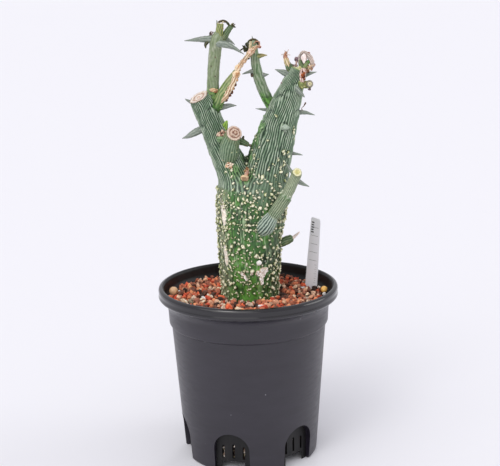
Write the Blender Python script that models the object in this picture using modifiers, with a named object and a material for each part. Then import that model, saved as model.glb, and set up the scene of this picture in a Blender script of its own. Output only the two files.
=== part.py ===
"""A potted adenia globosa: a warty green caudex with two ribbed arms and a few spiny shoots, standing
in coarse grit in a round black nursery pot, with a blank white plant label.

Blender 4.5, in metres, +Z up. The origin is the middle of the circle that the pot's feet stand on, and the
front of the plant faces -Y. Sizes and places in this file are in millimetres, and MM turns them into metres.
"""

import math
import random

import bmesh
import bpy
from mathutils import Matrix, Vector

MM = 0.001
CLEARANCE = 0.35  # between pieces that rest on or in each other

# The pot: a six-inch nursery pot, turned, with arched alcoves that leave six feet.
POT_HEIGHT = 158.6
RIM_RADIUS = 82.7
BODY_RADIUS = 73.8  # under the rim
BASE_RADIUS = 62.1
UPPER_RING_Z = 143.8
LOWER_RING_Z = 126.6
WALL = 1.5
FLOOR_Z = 10.0  # top of the floor inside
TURN_STEPS = 40

ALCOVES = 6
ALCOVE_TURN = -16.5  # degrees from the front towards +X, to the middle of the first alcove
ALCOVE_HALF_WIDTH = 16.5
ALCOVE_SPRING_Z = 22.0
ALCOVE_TOP_Z = 38.5
ALCOVE_BACK = 56.0  # from the pot's axis to the flat wall at the back of an alcove
UNDERSIDE_RADIUS = 57.0
SLIT_SPACING = 9.6
SLIT_WIDTH = 2.4
SLIT_BOTTOM_Z = 11.5
SLIT_TOP_Z = 25.0

# The filling, and how its grit stands up.
SOIL_Z = 147.6
SOIL_RADIUS = 73.6
SOIL_STEPS = 56
SOIL_RINGS = 9
RELIEF = 1.5
STONES = 38
STONE_RADIUS = (2.2, 3.6)

# The plant's three main stems, as (x, y, z, radius) along the middle of each.
TRUNK = (
    (1.5, 8, 112, 9),
    (1.5, 8, 118, 19),
    (1.6, 8, 128, 24.2),
    (1.7, 8, 142, 26.2),
    (1.9, 8, 156, 26.6),
    (2.3, 8, 180, 28.2),
    (3.0, 8, 209, 29.7),
    (3.8, 8, 230, 29.6),
    (4.3, 8, 244, 28.4),
    (4.6, 8, 255, 24),
    (4.7, 8, 262, 15),
)
LEFT_ARM = (
    (-1.0, 8, 216, 22.5),
    (-4.6, 8, 240, 20.4),
    (-8.8, 8, 258, 16.8),
    (-14.6, 7.5, 272, 14.2),
    (-22.4, 6.5, 289, 12.3),
    (-30.2, 5, 309, 11),
    (-36.4, 3.8, 324.5, 10.4),
    (-39.6, 3.0, 330.5, 9.8),
)
RIGHT_ARM = (
    (10.0, 8, 220, 22.5),
    (15.5, 8, 246, 21.8),
    (20.0, 8, 268, 20.0),
    (27.3, 8, 293, 17.3),
    (33.0, 8, 311, 15.0),
    (39.2, 8, 331, 12.4),
    (44.6, 8, 347, 9),
    (46.6, 8, 353, 8.2),
)
ARM_RIBS = 20
RIB_DEPTH = 0.075  # of the arm's radius

# Spines of the main stems: leaf-like, thick in the middle, with a fine point.
STEM_SPINES = (
    ((-44.5, 4, 325, 1.6), (-48.3, 3.5, 327.4, 1.4), (-52.3, 3, 330.0, 0.35)),
    ((-36.0, 4, 304, 2.6), (-43.0, 2.5, 300.6, 2.9), (-50.0, 1.5, 297.2, 1.9), (-55.9, 1, 295.2, 0.35)),
    ((-28.0, 4, 320, 2.2), (-20.5, 3, 322.0, 2.7), (-12.8, 2, 323.6, 1.8), (-7.1, 2, 323.4, 0.35)),
    ((41.0, 7, 347.5, 2.4), (35.5, 6, 350.6, 1.9), (27.6, 5, 354.2, 0.35)),
    ((50.5, 7, 347.5, 1.9), (57.0, 6, 349.6, 1.5), (64.2, 5, 351.3, 0.35)),
    ((24.0, 12, 317.4, 1.7), (17.0, 12, 318.3, 1.3), (9.9, 12, 319.2, 0.35)),
    ((44.5, 8, 315.2, 2.2), (53.0, 7, 315.6, 1.9), (62.5, 6, 313.2, 0.35)),
    ((53.6, 7.5, 315.2, 1.0), (54.0, 7.5, 319.2, 0.8), (54.2, 7.5, 323.6, 0.4)),
    ((37.0, 5, 279.8, 2.1), (44.0, 4, 279.2, 1.5), (51.1, 3, 277.9, 0.35)),
    ((34.6, -4, 302.5, 2.2), (35.4, -9.5, 301.6, 1.3), (35.9, -12.6, 300.8, 0.4)),
    ((45.3, 0, 338.6, 1.9), (48.8, -3.2, 334.6, 1.8), (52.9, -4.6, 330.6, 0.4)),
    ((-30.2, 13, 306, 2.2), (-31.2, 20, 304.6, 1.9), (-32.0, 27.5, 302.6, 0.35)),
    ((36.0, 17, 322, 2.2), (37.0, 26, 321.2, 1.8), (38.0, 33.5, 319.0, 0.35)),
    ((26.0, 22, 287, 2.2), (25.4, 30, 286.2, 1.8), (24.6, 38.0, 284.0, 0.35)),
)

# Warts: small cones that crowd on the trunk and thin out up the arms.
WARTS = 125
WART_RADIUS = (0.9, 1.6)
WART_SPACING = 5.2
WART_DEPTH = 3.0
WART_SUNK = 0.25  # from a wart's middle to the stem's surface
WART_LOWEST_Z = 153.0
WART_FADE_Z = 248.0  # above this they thin out
WART_HIGHEST_Z = 292.0
BARE_SPOTS = (  # (x, y, z, reach): where a growth or the scar keeps the warts away
    (17, -18, 215, 11),
    (24, -14, 226, 9),
    (32, 4, 197, 6),
    (-14, -4, 284, 14),
    (-3, -3, 291, 7),
    (1, -11, 261, 7),
    (14, -18, 174, 8),
    (24, 16, 320, 7),
)
CORK_SCAR = ((14.5, -18.2, 175.5, 5.2), (15.5, -18.0, 170.5, 3.6), (10.4, -19.6, 182.5, 2.1))

# The label: a thin plate that leans to the right and is turned a little.
LABEL_WIDTH = 12.0
LABEL_THICKNESS = 0.9
LABEL_FOOT = (59.6, 27, 148)
LABEL_ABOVE = 67.0
LABEL_BELOW = 40.0
LABEL_POINT = 12.0
LABEL_LEAN = 4.6  # degrees to the right
LABEL_TURN = 24.0  # degrees, right edge towards the front
LABEL_CORNER = 2.0

TAN_BEAD = (-69.5, 9, 151.3, 4.4)
YELLOW_BEAD = (70.6, 8, 150.6, 3.3)
WHITE_CHIP = (70.0, 0, 148.5, 2.0)

COLOURS = {
    "pot": (0.055, 0.055, 0.062),
    "grit": (0.28, 0.12, 0.075),
    "stem": (0.13, 0.24, 0.13),
    "bright": (0.25, 0.42, 0.1),
    "dark": (0.07, 0.12, 0.06),
    "olive": (0.32, 0.36, 0.12),
    "cork": (0.62, 0.5, 0.36),
    "dry": (0.55, 0.36, 0.2),
    "brown": (0.13, 0.07, 0.045),
    "label": (0.82, 0.82, 0.84),
    "clay": (0.6, 0.42, 0.24),
    "amber": (0.75, 0.42, 0.08),
    "white": (0.85, 0.83, 0.8),
}
ROUGHNESS = {"pot": 0.5, "label": 0.4}


class Tube:
    """A stem swept along (x, y, z, radius) stations, with plain sides, or with ribs if groove is not 0."""

    def __init__(self, *stations, sides=8, groove=0.0, steps=1):
        self.stations = stations
        self.sides = sides
        self.groove = groove
        self.steps = steps


class Blob:
    """A small faceted ball."""

    def __init__(self, x, y, z, radius, detail=1):
        self.centre = (x, y, z)
        self.radius = radius
        self.detail = detail


class Growth:
    """One node of the plant: what it is made of, its colour, and the nodes that it rests on."""

    def __init__(self, colour, parts, rests_on):
        self.colour = colour
        self.parts = parts
        self.rests_on = rests_on


def spine(*stations):
    return Tube(*stations, sides=5)


GROWTHS = {
    "basal_branch": Growth(
        "stem",
        (
            Tube(
                (12.6, -17.2, 208.6, 2.6),
                (15.2, -18.8, 212.2, 6.6),
                (18.4, -19.8, 217.0, 7.7),
                (23.0, -20.0, 223.6, 6.9),
                (29.0, -18.8, 232.6, 6.0),
                (37.0, -16.6, 245.2, 5.9),
                (41.4, -15.2, 255.4, 5.5),
                (44.8, -14.2, 264.9, 4.9),
                sides=24,
                groove=0.07,
            ),
            spine((45.0, -14.5, 258.0, 2.3), (50.0, -15.0, 255.0, 1.5), (55.8, -15.5, 252.6, 0.35)),
            spine((41.5, -14.0, 264.0, 1.5), (38.6, -13.0, 268.6, 1.1), (36.6, -12.0, 272.4, 0.4)),
        ),
        ("caudex_stem",),
    ),
    "low_stub": Growth(
        "dark",
        (Tube((28.0, 4, 195.6, 3.3), (36, 4, 198.8, 3.5), (42.0, 4, 201.6, 3.3)),),
        ("caudex_stem",),
    ),
    "low_stub_thread": Growth(
        "dry",
        (Tube((41.0, 4, 201.2, 0.9), (44.6, 4, 203.4, 0.9), (47.6, 4, 206.2, 0.5), sides=6),),
        ("low_stub",),
    ),
    "front_stub": Growth(
        "stem",
        (
            Tube(
                (-17.2, 5, 272.0, 7.8),
                (-15.2, -1.5, 280.0, 9.6),
                (-12.4, -6.4, 289.2, 9.0),
                (-10.2, -10.6, 296.8, 7.7),
                (-9.2, -14.6, 299.8, 6.9),
                sides=28,
                groove=0.06,
            ),
        ),
        ("caudex_stem",),
    ),
    "woody_stub": Growth(
        "cork",
        (Tube((-20.6, 0, 293.5, 3.6), (-20.4, -5.0, 297.0, 3.9), (-20.3, -8.8, 298.8, 3.4), sides=10),),
        ("caudex_stem", "front_stub"),
    ),
    "green_sprout": Growth(
        "bright",
        (
            Tube((-17.5, 2, 301.5, 1.6), (-15.2, 0.5, 305.2, 2.1), (-14.3, 0, 311.0, 0.9)),
            Tube((-16.4, 1, 303.0, 1.4), (-17.6, -0.5, 306.4, 1.3), (-18.6, -1, 308.4, 0.6)),
        ),
        ("caudex_stem", "front_stub"),
    ),
    "side_stub": Growth(
        "dark",
        (
            Tube((-9.6, -1, 293.6, 2.4), (-3.0, -3, 291.6, 2.9), (2.4, -4, 289.2, 2.3), sides=10),
            spine((-2.6, -3, 292.6, 1.3), (-1.4, -3, 296.4, 0.5)),
        ),
        ("caudex_stem", "front_stub"),
    ),
    "arm_bud_cluster": Growth(
        "cork",
        (
            Blob(-14.4, -7.4, 271.0, 3.2),
            Blob(-17.0, -5.8, 273.6, 1.9),
            Blob(-12.8, -7.6, 267.6, 2.1),
            Blob(-11.6, -7.8, 273.0, 1.7),
        ),
        ("caudex_stem", "front_stub"),
    ),
    "fork_bud_cluster": Growth(
        "dry",
        (
            Blob(0.2, -11.6, 257.6, 3.4),
            Blob(1.6, -10.8, 261.6, 2.3),
            Blob(0.8, -10.4, 265.4, 2.0),
        ),
        ("caudex_stem",),
    ),
    "tall_shoot": Growth(
        "stem",
        (
            Tube(
                (-25.6, 6, 321.0, 4.8),
                (-27.6, 5.4, 332.0, 5.7),
                (-27.4, 5, 345.0, 5.5),
                (-26.2, 5, 361.0, 5.3),
                (-24.6, 5, 375.0, 5.5),
                (-23.4, 5, 381.6, 5.9),
                (-22.2, 5, 385.6, 4.0),
                sides=12,
            ),
            Tube((-22.8, 5, 382.0, 3.4), (-20.8, 5, 388.4, 3.1), (-18.4, 5, 395.4, 2.4)),
            Tube((-20.0, 6, 379.0, 2.9), (-15.2, 7, 386.0, 3.0), (-10.9, 8, 391.6, 2.5)),
            spine(
                (-25.5, 5, 381.0, 2.6),
                (-33.0, 4.4, 381.2, 2.5),
                (-41.5, 3.8, 380.4, 1.7),
                (-51.3, 3, 379.8, 0.35),
            ),
            spine(
                (-24.0, 2, 376.6, 2.2),
                (-17.0, -0.6, 378.6, 1.9),
                (-10.4, -1.8, 377.2, 1.5),
                (0.4, -2.4, 368.4, 0.35),
            ),
            spine((-20.0, 8, 381.2, 1.7), (-14.0, 11.0, 380.6, 1.1), (-6.4, 13.0, 375.4, 0.35)),
            spine((-21.8, 5.4, 388.0, 1.2), (-22.4, 5.8, 392.6, 0.9), (-23.0, 6, 397.6, 0.35)),
            spine((-25.0, 9, 379.0, 1.9), (-26.4, 15.0, 379.4, 1.3), (-27.4, 21.0, 378.0, 0.35)),
            spine((-31.6, 4.6, 380.0, 1.5), (-33.2, 4.4, 377.0, 1.2), (-32.8, 4.2, 373.4, 0.5)),
            Blob(-28.0, 4.6, 385.6, 1.9),
        ),
        ("caudex_stem",),
    ),
    "tall_shoot_dried_tip": Growth(
        "brown",
        (
            Tube(
                (-19.6, 4.6, 396.2, 1.1),
                (-16.6, 5.2, 398.0, 0.9),
                (-13.4, 6.4, 396.4, 1.1),
                (-10.4, 8.2, 393.6, 1.6),
                (-7.6, 8.2, 392.0, 1.0),
                (-5.2, 8, 389.6, 0.6),
                sides=6,
            ),
        ),
        ("tall_shoot",),
    ),
    "withered_shoot": Growth(
        "stem",
        (
            Tube(
                (-26.0, 1.6, 319.0, 4.0),
                (-22.2, 0.4, 328.6, 4.6),
                (-16.8, 1, 337.4, 4.2),
                (-11.0, 2, 345.0, 3.9),
                (-5.6, 3, 351.0, 3.5),
                sides=12,
            ),
        ),
        ("caudex_stem", "tall_shoot"),
    ),
    "withered_bark": Growth(
        "cork",
        (
            Tube(
                (-18.6, -2.0, 326.8, 1.3),
                (-13.8, -1.4, 333.6, 1.8),
                (-8.6, -0.4, 341.4, 1.7),
                (-3.9, 0.8, 348.6, 1.3),
                sides=6,
            ),
            Blob(-15.0, -1.6, 329.2, 1.7),
            Blob(-9.8, -0.6, 336.4, 1.6),
            Blob(-6.0, 0, 342.0, 1.5),
        ),
        ("withered_shoot", "caudex_stem"),
    ),
    "withered_stem": Growth(
        "dry",
        (
            Tube(
                (-5.6, 3.2, 349.0, 2.6),
                (-3.6, 4.0, 353.6, 2.6),
                (-1.8, 4.6, 358.0, 1.7),
                (2.0, 5.4, 363.2, 1.9),
                (6.4, 6.4, 368.4, 1.5),
                (10.6, 7.4, 373.2, 1.9),
                (14.0, 8.4, 376.6, 1.2),
                (12.4, 9.2, 380.4, 0.9),
                (8.8, 9.4, 380.0, 0.8),
                sides=7,
            ),
            Blob(0.2, 5.0, 361.0, 2.2),
            Blob(8.6, 6.8, 371.0, 2.1),
        ),
        ("withered_shoot", "withered_bark"),
    ),
    "middle_shoot": Growth(
        "stem",
        (
            Tube(
                (27.0, 14.5, 314.0, 4.0),
                (22.8, 16, 323.4, 4.7),
                (17.4, 16, 334.4, 4.6),
                (12.6, 16, 347.4, 4.5),
                (10.4, 16, 360.0, 4.1),
                (9.8, 16, 369.0, 3.6),
                (9.6, 16.4, 375.4, 3.4),
                (9.4, 17.0, 379.4, 2.0),
                sides=12,
            ),
            spine((11.4, 15, 352.0, 1.8), (5.2, 14, 351.8, 1.2), (-1.4, 13, 350.0, 0.35)),
            spine((14.4, 15, 348.4, 2.0), (18.4, 14, 348.4, 1.4), (21.8, 13, 349.4, 0.35)),
            spine((10.6, 15, 365.0, 1.8), (14.4, 14, 366.0, 1.5), (20.4, 13, 366.4, 0.35)),
            spine((9.4, 17, 377.0, 1.2), (9.0, 17, 380.0, 0.9), (8.4, 17, 383.2, 0.4)),
            spine((12.0, 18, 349.0, 1.8), (12.0, 24, 349.6, 1.3), (12.0, 30, 348.0, 0.35)),
            Blob(7.2, 14.6, 348.6, 1.5),
        ),
        ("caudex_stem", "withered_stem"),
    ),
    "middle_shoot_dried_tip": Growth(
        "brown",
        (
            Tube(
                (3.4, 15.2, 363.8, 1.5),
                (4.6, 14.6, 367.4, 1.2),
                (3.4, 14.6, 371.0, 1.6),
                (4.6, 15.0, 375.0, 1.5),
                (5.0, 15.4, 378.6, 1.1),
                sides=6,
            ),
            spine((3.8, 14.6, 372.0, 1.0), (0.2, 13.6, 374.2, 0.9), (-2.6, 13, 371.0, 0.5)),
        ),
        ("middle_shoot", "withered_stem"),
    ),
    "crown_left_sprout": Growth(
        "dark",
        (
            Tube(
                (41.6, 8, 350.6, 2.0),
                (39.8, 7.6, 354.6, 2.9),
                (38.4, 7.2, 358.6, 2.8),
                (37.6, 7, 361.2, 2.3),
                sides=10,
            ),
            Blob(43.4, 7.4, 357.6, 2.3),
        ),
        ("caudex_stem",),
    ),
    "crown_left_tip": Growth(
        "dry",
        (
            Tube(
                (37.8, 7, 360.4, 2.0),
                (37.4, 7, 364.2, 2.0),
                (37.2, 7, 367.6, 1.6),
                (37.4, 7, 369.2, 0.9),
                sides=7,
            ),
            spine((37.6, 7, 366.8, 1.0), (39.6, 7, 368.0, 0.8), (40.4, 7, 371.2, 0.5)),
            spine((38.0, 7, 365.8, 0.9), (41.4, 7, 366.2, 0.5)),
            spine((37.0, 7, 367.0, 0.8), (33.4, 7, 367.6, 0.4)),
        ),
        ("crown_left_sprout",),
    ),
    "crown_right_growth": Growth(
        "dark",
        (
            Tube((52.4, 8, 351.4, 2.2), (53.6, 7.6, 355.6, 2.9), (55.6, 7.2, 358.8, 2.6)),
            Tube(
                (53.0, 7.6, 354.6, 1.9),
                (49.8, 7.6, 359.4, 1.7),
                (49.6, 7.8, 364.0, 1.2),
                (51.8, 8, 368.0, 0.8),
            ),
        ),
        ("caudex_stem",),
    ),
    "crown_right_husk": Growth(
        "cork",
        (
            Tube((52.8, 6.8, 359.6, 1.3), (52.6, 6.4, 363.4, 2.6), (53.6, 6.8, 366.6, 1.7)),
            Tube(
                (53.4, 6.8, 366.8, 1.3),
                (57.0, 6.6, 366.0, 1.5),
                (60.0, 6.4, 362.0, 1.6),
                (61.4, 6.0, 357.4, 1.9),
                (59.6, 5.4, 353.6, 1.9),
                (57.0, 4.6, 351.0, 1.3),
                sides=7,
            ),
        ),
        ("crown_right_growth", "caudex_stem"),
    ),
    "crown_strip": Growth(
        "dry",
        (
            Tube(
                (51.8, 0.2, 352.6, 1.4),
                (51.6, -0.8, 348.0, 1.7),
                (51.4, -1.6, 343.6, 1.8),
                (51.0, -2.6, 340.4, 1.5),
                sides=7,
            ),
            Blob(51.8, -1.0, 349.8, 1.9),
            Blob(51.4, -1.8, 345.4, 2.0),
        ),
        ("caudex_stem", "crown_right_growth", "crown_right_husk"),
    ),
    "crown_cut_stub": Growth(
        "olive",
        (Tube((49.0, 3, 341.6, 3.2), (53.6, -0.6, 341.4, 3.7), (57.4, -3.6, 341.4, 3.6), sides=12),),
        ("caudex_stem", "crown_strip"),
    ),
    "crown_bud": Growth(
        "brown",
        (
            Tube(
                (45.8, 8, 352.8, 1.2),
                (45.4, 7.6, 356.0, 1.1),
                (46.6, 7.2, 359.6, 1.6),
                (47.0, 7, 363.4, 0.7),
                sides=6,
            ),
        ),
        ("caudex_stem", "crown_left_sprout", "crown_right_growth"),
    ),
}


def clear_scene():
    for obj in list(bpy.data.objects):
        bpy.data.objects.remove(obj, do_unlink=True)


def new_collection(name):
    collection = bpy.data.collections.new(name)
    bpy.context.scene.collection.children.link(collection)
    return collection


def as_helper(obj):
    obj.hide_render = True
    obj.display_type = "WIRE"
    return obj


def make_material(name):
    material = bpy.data.materials.new(name)
    material.use_nodes = True
    shader = material.node_tree.nodes["Principled BSDF"]
    shader.inputs["Base Color"].default_value = (*COLOURS[name], 1)
    shader.inputs["Roughness"].default_value = ROUGHNESS.get(name, 0.75)
    shader.inputs["Metallic"].default_value = 0
    material.diffuse_color = (*COLOURS[name], 1)
    return material


def object_from(mesh_or_curve, name):
    """A working object among the helpers; finish() moves it to the plant's own collection."""
    obj = bpy.data.objects.new(name, mesh_or_curve)
    bpy.data.collections["cutters"].objects.link(obj)
    return as_helper(obj)


def object_from_bmesh(bm, name):
    bmesh.ops.recalc_face_normals(bm, faces=bm.faces)
    mesh = bpy.data.meshes.new(name)
    bm.to_mesh(mesh)
    bm.free()
    return object_from(mesh, name)


def evaluated_mesh(obj):
    bpy.context.view_layer.update()
    graph = bpy.context.evaluated_depsgraph_get()
    return bpy.data.meshes.new_from_object(obj.evaluated_get(graph))


def meshed(curve_object):
    """The curve as a mesh object with welded caps. The curve goes away."""
    bm = bmesh.new()
    bm.from_mesh(evaluated_mesh(curve_object))
    bmesh.ops.remove_doubles(bm, verts=bm.verts, dist=0.002 * MM)
    name = curve_object.name
    place = curve_object.matrix_world.copy()
    bpy.data.objects.remove(curve_object)
    obj = object_from_bmesh(bm, name)
    obj.matrix_world = place
    return obj


def apply_modifiers(obj):
    mesh = evaluated_mesh(obj)
    obj.modifiers.clear()
    obj.data = mesh


def boolean(target, operation, operands, solver="EXACT"):
    """Applies one Boolean of a whole collection of operands to the target."""
    group = bpy.data.collections.new("operands")
    for operand in operands:
        group.objects.link(operand)
    change = target.modifiers.new("Boolean", "BOOLEAN")
    change.operation = operation
    change.operand_type = "COLLECTION"
    change.collection = group
    change.solver = solver
    apply_modifiers(target)
    bpy.data.collections.remove(group)


def remove(objects):
    for obj in objects:
        bpy.data.objects.remove(obj)


def union(target, others, solver="EXACT"):
    if others:
        boolean(target, "UNION", others, solver)
        remove(others)
    return target


def drop_scraps(obj):
    """Keeps the largest body of the object and drops what a cut left loose."""
    bm = bmesh.new()
    bm.from_mesh(obj.data)
    unseen = set(bm.verts)
    bodies = []
    while unseen:
        body = set()
        front = [unseen.pop()]
        while front:
            vert = front.pop()
            body.add(vert)
            near = {edge.other_vert(vert) for edge in vert.link_edges} & unseen
            unseen -= near
            front.extend(near)
        bodies.append(body)
    bodies.sort(key=len)
    for body in bodies[:-1]:
        bmesh.ops.delete(bm, geom=list(body), context="VERTS")
    bm.to_mesh(obj.data)
    bm.free()


def finish(obj, colour, crease=35):
    """Makes a working object one of the model's nodes."""
    bpy.data.collections["cutters"].objects.unlink(obj)
    bpy.data.collections["potted_adenia"].objects.link(obj)
    obj.hide_render = False
    obj.display_type = "TEXTURED"
    obj.data.materials.clear()
    obj.data.materials.append(bpy.data.materials[colour])
    obj.data.shade_smooth()
    obj.data.set_sharp_from_angle(angle=math.radians(crease))
    return obj


def smoothed(stations, steps):
    """Catmull-Rom through the stations, with this many steps from each to the next."""
    points = [Vector(station) for station in stations]
    padded = [2 * points[0] - points[1], *points, 2 * points[-1] - points[-2]]
    smooth = []
    for before, start, end, after in zip(padded, padded[1:], padded[2:], padded[3:]):
        for step in range(steps):
            t = step / steps
            smooth.append(
                start
                + (end - before) * (t / 2)
                + (before * 2 - start * 5 + end * 4 - after) * (t * t / 2)
                + (start * 3 - before - end * 3 + after) * (t**3 / 2)
            )
    smooth.append(points[-1])
    return smooth


def section(sides, groove):
    """The outline that a stem is swept with: a unit circle, or with ribs that stand out between grooves."""
    name = f"section_{sides}_{groove}"
    if name in bpy.data.objects:
        return bpy.data.objects[name]
    curve = bpy.data.curves.new(name, "CURVE")
    curve.dimensions = "2D"
    spline = curve.splines.new("POLY")
    spline.points.add(sides - 1)
    spline.use_cyclic_u = True
    for i, point in enumerate(spline.points):
        angle = 2 * math.pi * i / sides
        radius = 1 - groove if i % 2 else 1
        point.co = (radius * math.cos(angle), radius * math.sin(angle), 0, 1)
    return object_from(curve, name)


def swept(tube, name, grow):
    """The mesh of a Tube, larger all round by grow."""
    curve = bpy.data.curves.new(name, "CURVE")
    curve.dimensions = "3D"
    curve.use_fill_caps = True
    curve.bevel_mode = "OBJECT"
    curve.bevel_object = section(tube.sides, tube.groove)
    stations = smoothed(tube.stations, tube.steps)
    for end, inner in ((0, 1), (-1, -2)):
        stations[end].xyz += (stations[end].xyz - stations[inner].xyz).normalized() * grow
    spline = curve.splines.new("POLY")
    spline.points.add(len(stations) - 1)
    for point, (x, y, z, radius) in zip(spline.points, stations):
        point.co = (x * MM, y * MM, z * MM, 1)
        point.radius = (radius + grow) * MM
    return meshed(object_from(curve, name))


def ball(blob, name, grow):
    bm = bmesh.new()
    bmesh.ops.create_icosphere(
        bm,
        subdivisions=blob.detail,
        radius=(blob.radius + grow) * MM,
        matrix=Matrix.Translation(Vector(blob.centre) * MM),
    )
    return object_from_bmesh(bm, name)


def solid(parts, name, grow=0.0):
    """The parts joined into one body, larger all round by grow."""
    made = [(ball if isinstance(part, Blob) else swept)(part, name, grow) for part in parts]
    joined = union(made[0], made[1:])
    joined.name = name
    return joined


def turned(name, profile, steps):
    """A turned body from (radius, z) points that start and end on the axis."""
    bm = bmesh.new()
    verts = [bm.verts.new((radius * MM, 0, z * MM)) for radius, z in profile]
    for first, second in zip(verts, verts[1:]):
        bm.edges.new((first, second))
    mesh = bpy.data.meshes.new(name)
    bm.to_mesh(mesh)
    bm.free()
    obj = object_from(mesh, name)
    screw = obj.modifiers.new("Screw", "SCREW")
    screw.steps = steps
    screw.render_steps = steps
    screw.use_merge_vertices = True
    screw.merge_threshold = 0.00001
    apply_modifiers(obj)
    return obj


def flat_piece(name, outline, thickness):
    """A plate of this thickness with an outline in the XY plane, in millimetres, centred on it."""
    curve = bpy.data.curves.new(name, "CURVE")
    curve.dimensions = "2D"
    curve.fill_mode = "BOTH"
    curve.extrude = thickness / 2 * MM
    spline = curve.splines.new("POLY")
    spline.points.add(len(outline) - 1)
    spline.use_cyclic_u = True
    for point, (x, y) in zip(spline.points, outline):
        point.co = (x * MM, y * MM, 0, 1)
    return meshed(object_from(curve, name))


def arch_outline(half_width, bottom, spring, top, steps=10, shift=0.0):
    """A doorway: straight sides up to spring, then half an ellipse up to top."""
    turns = [math.pi * i / steps for i in range(steps + 1)]
    rise = top - spring
    arch = [(shift + half_width * math.cos(turn), spring + rise * math.sin(turn)) for turn in turns]
    return [(shift - half_width, bottom), (shift + half_width, bottom), *arch]


def round_the_pot(obj, turn, distance):
    """Stands a flat piece up, facing outwards, at this turn from the front and distance from the axis."""
    angle = math.radians(turn)
    outwards = Vector((math.sin(angle), -math.cos(angle), 0))
    upright = Matrix.Rotation(angle, 4, "Z") @ Matrix.Rotation(math.pi / 2, 4, "X")
    obj.matrix_world = Matrix.Translation(outwards * distance * MM) @ upright
    return obj


def alcove_turns():
    return [ALCOVE_TURN + 360 / ALCOVES * i for i in range(ALCOVES)]


def alcoves(grow):
    """The six alcoves as solids, larger by grow, open below and to the outside."""
    depth = 40
    outline = arch_outline(ALCOVE_HALF_WIDTH + grow, -20, ALCOVE_SPRING_Z, ALCOVE_TOP_Z + grow)
    return [
        round_the_pot(flat_piece("alcove", outline, depth), turn, ALCOVE_BACK - grow + depth / 2)
        for turn in alcove_turns()
    ]


def drain_slits():
    found = []
    for turn in alcove_turns():
        for side in (-1, 0, 1):
            top = SLIT_TOP_Z - 1.5 * abs(side)
            outline = arch_outline(
                SLIT_WIDTH / 2, SLIT_BOTTOM_Z, top - SLIT_WIDTH / 2, top, steps=4, shift=side * SLIT_SPACING
            )
            found.append(round_the_pot(flat_piece("slit", outline, 5), turn, ALCOVE_BACK))
    return found


def body_radius(z):
    """The pot's outer radius below the lower ring."""
    return BASE_RADIUS + (71.9 - BASE_RADIUS) * z / LOWER_RING_Z


def outer_profile():
    return (
        (0, POT_HEIGHT),
        (80.4, POT_HEIGHT),
        (81.6, POT_HEIGHT - 0.8),
        (82.0, POT_HEIGHT - 2.2),
        (81.2, POT_HEIGHT - 4.4),
        (82.4, POT_HEIGHT - 5.8),
        (RIM_RADIUS, POT_HEIGHT - 7.2),
        (82.0, POT_HEIGHT - 8.6),
        (78.2, POT_HEIGHT - 10.6),
        (75.4, POT_HEIGHT - 12.8),
        (BODY_RADIUS + 0.4, UPPER_RING_Z),
        (BODY_RADIUS, UPPER_RING_Z - 1.2),
        (73.1, LOWER_RING_Z + 0.8),
        (71.9, LOWER_RING_Z - 0.4),
        (body_radius(60), 60),
        (body_radius(3), 3),
        (BASE_RADIUS - 0.3, 1.0),
        (BASE_RADIUS - 1.4, 0),
        (0, 0),
    )


def inner_wall(gap):
    """The inside of the pot's wall from its lip down to the floor, closer to the axis by gap."""
    return [
        (radius - gap, z)
        for radius, z in (
            (77.2, POT_HEIGHT - 1.6),
            (76.7, POT_HEIGHT - 5),
            (76.4, POT_HEIGHT - 9),
            (74.8, POT_HEIGHT - 12),
            (72.6, POT_HEIGHT - 14.6),
            (72.0, POT_HEIGHT - 17),
            (70.4, LOWER_RING_Z - 1.5),
            (body_radius(FLOOR_Z) - WALL, FLOOR_Z + gap),
        )
    ]


def make_pot():
    mouth = (
        (0, POT_HEIGHT + 5),
        (79.0, POT_HEIGHT + 5),
        (79.0, POT_HEIGHT + 0.6),
        (78.4, POT_HEIGHT - 0.4),
    )
    cavity = turned("cavity", [*mouth, *inner_wall(0), (0, FLOOR_Z)], TURN_STEPS)
    walls = alcoves(WALL)
    boolean(cavity, "DIFFERENCE", walls)
    underside = turned(
        "underside",
        [(0, FLOOR_Z - WALL), (UNDERSIDE_RADIUS, FLOOR_Z - WALL), (UNDERSIDE_RADIUS, -5), (0, -5)],
        TURN_STEPS,
    )
    pot = turned("nursery_pot", outer_profile(), TURN_STEPS)
    cutters = [cavity, underside, *alcoves(0), *drain_slits()]
    boolean(pot, "DIFFERENCE", cutters)
    remove([*walls, *cutters])
    return finish(pot, "pot")


def soil_profile():
    """The filling's outline, with rings across its top for the grit to stand up from."""
    wall = [(radius, z) for radius, z in inner_wall(CLEARANCE) if z < SOIL_Z - 2 * RELIEF]
    rings = [(SOIL_RADIUS - (SOIL_RADIUS - 20) * i / SOIL_RINGS, SOIL_Z) for i in range(SOIL_RINGS)]
    return [(0, SOIL_Z), *reversed(rings), *wall, (0, FLOOR_Z + CLEARANCE)]


def roughen_top(soil, rng):
    for vert in soil.data.vertices:
        radius = math.hypot(vert.co.x, vert.co.y) / MM
        if vert.co.z > (SOIL_Z - 0.1) * MM and radius > 1:
            loose = 0.018 * radius if radius < 70 else 0.0  # the rings' points lie closer near the middle
            vert.co.x += rng.uniform(-loose, loose) * MM
            vert.co.y += rng.uniform(-loose, loose) * MM
            vert.co.z += rng.uniform(-RELIEF, RELIEF) * MM


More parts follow.
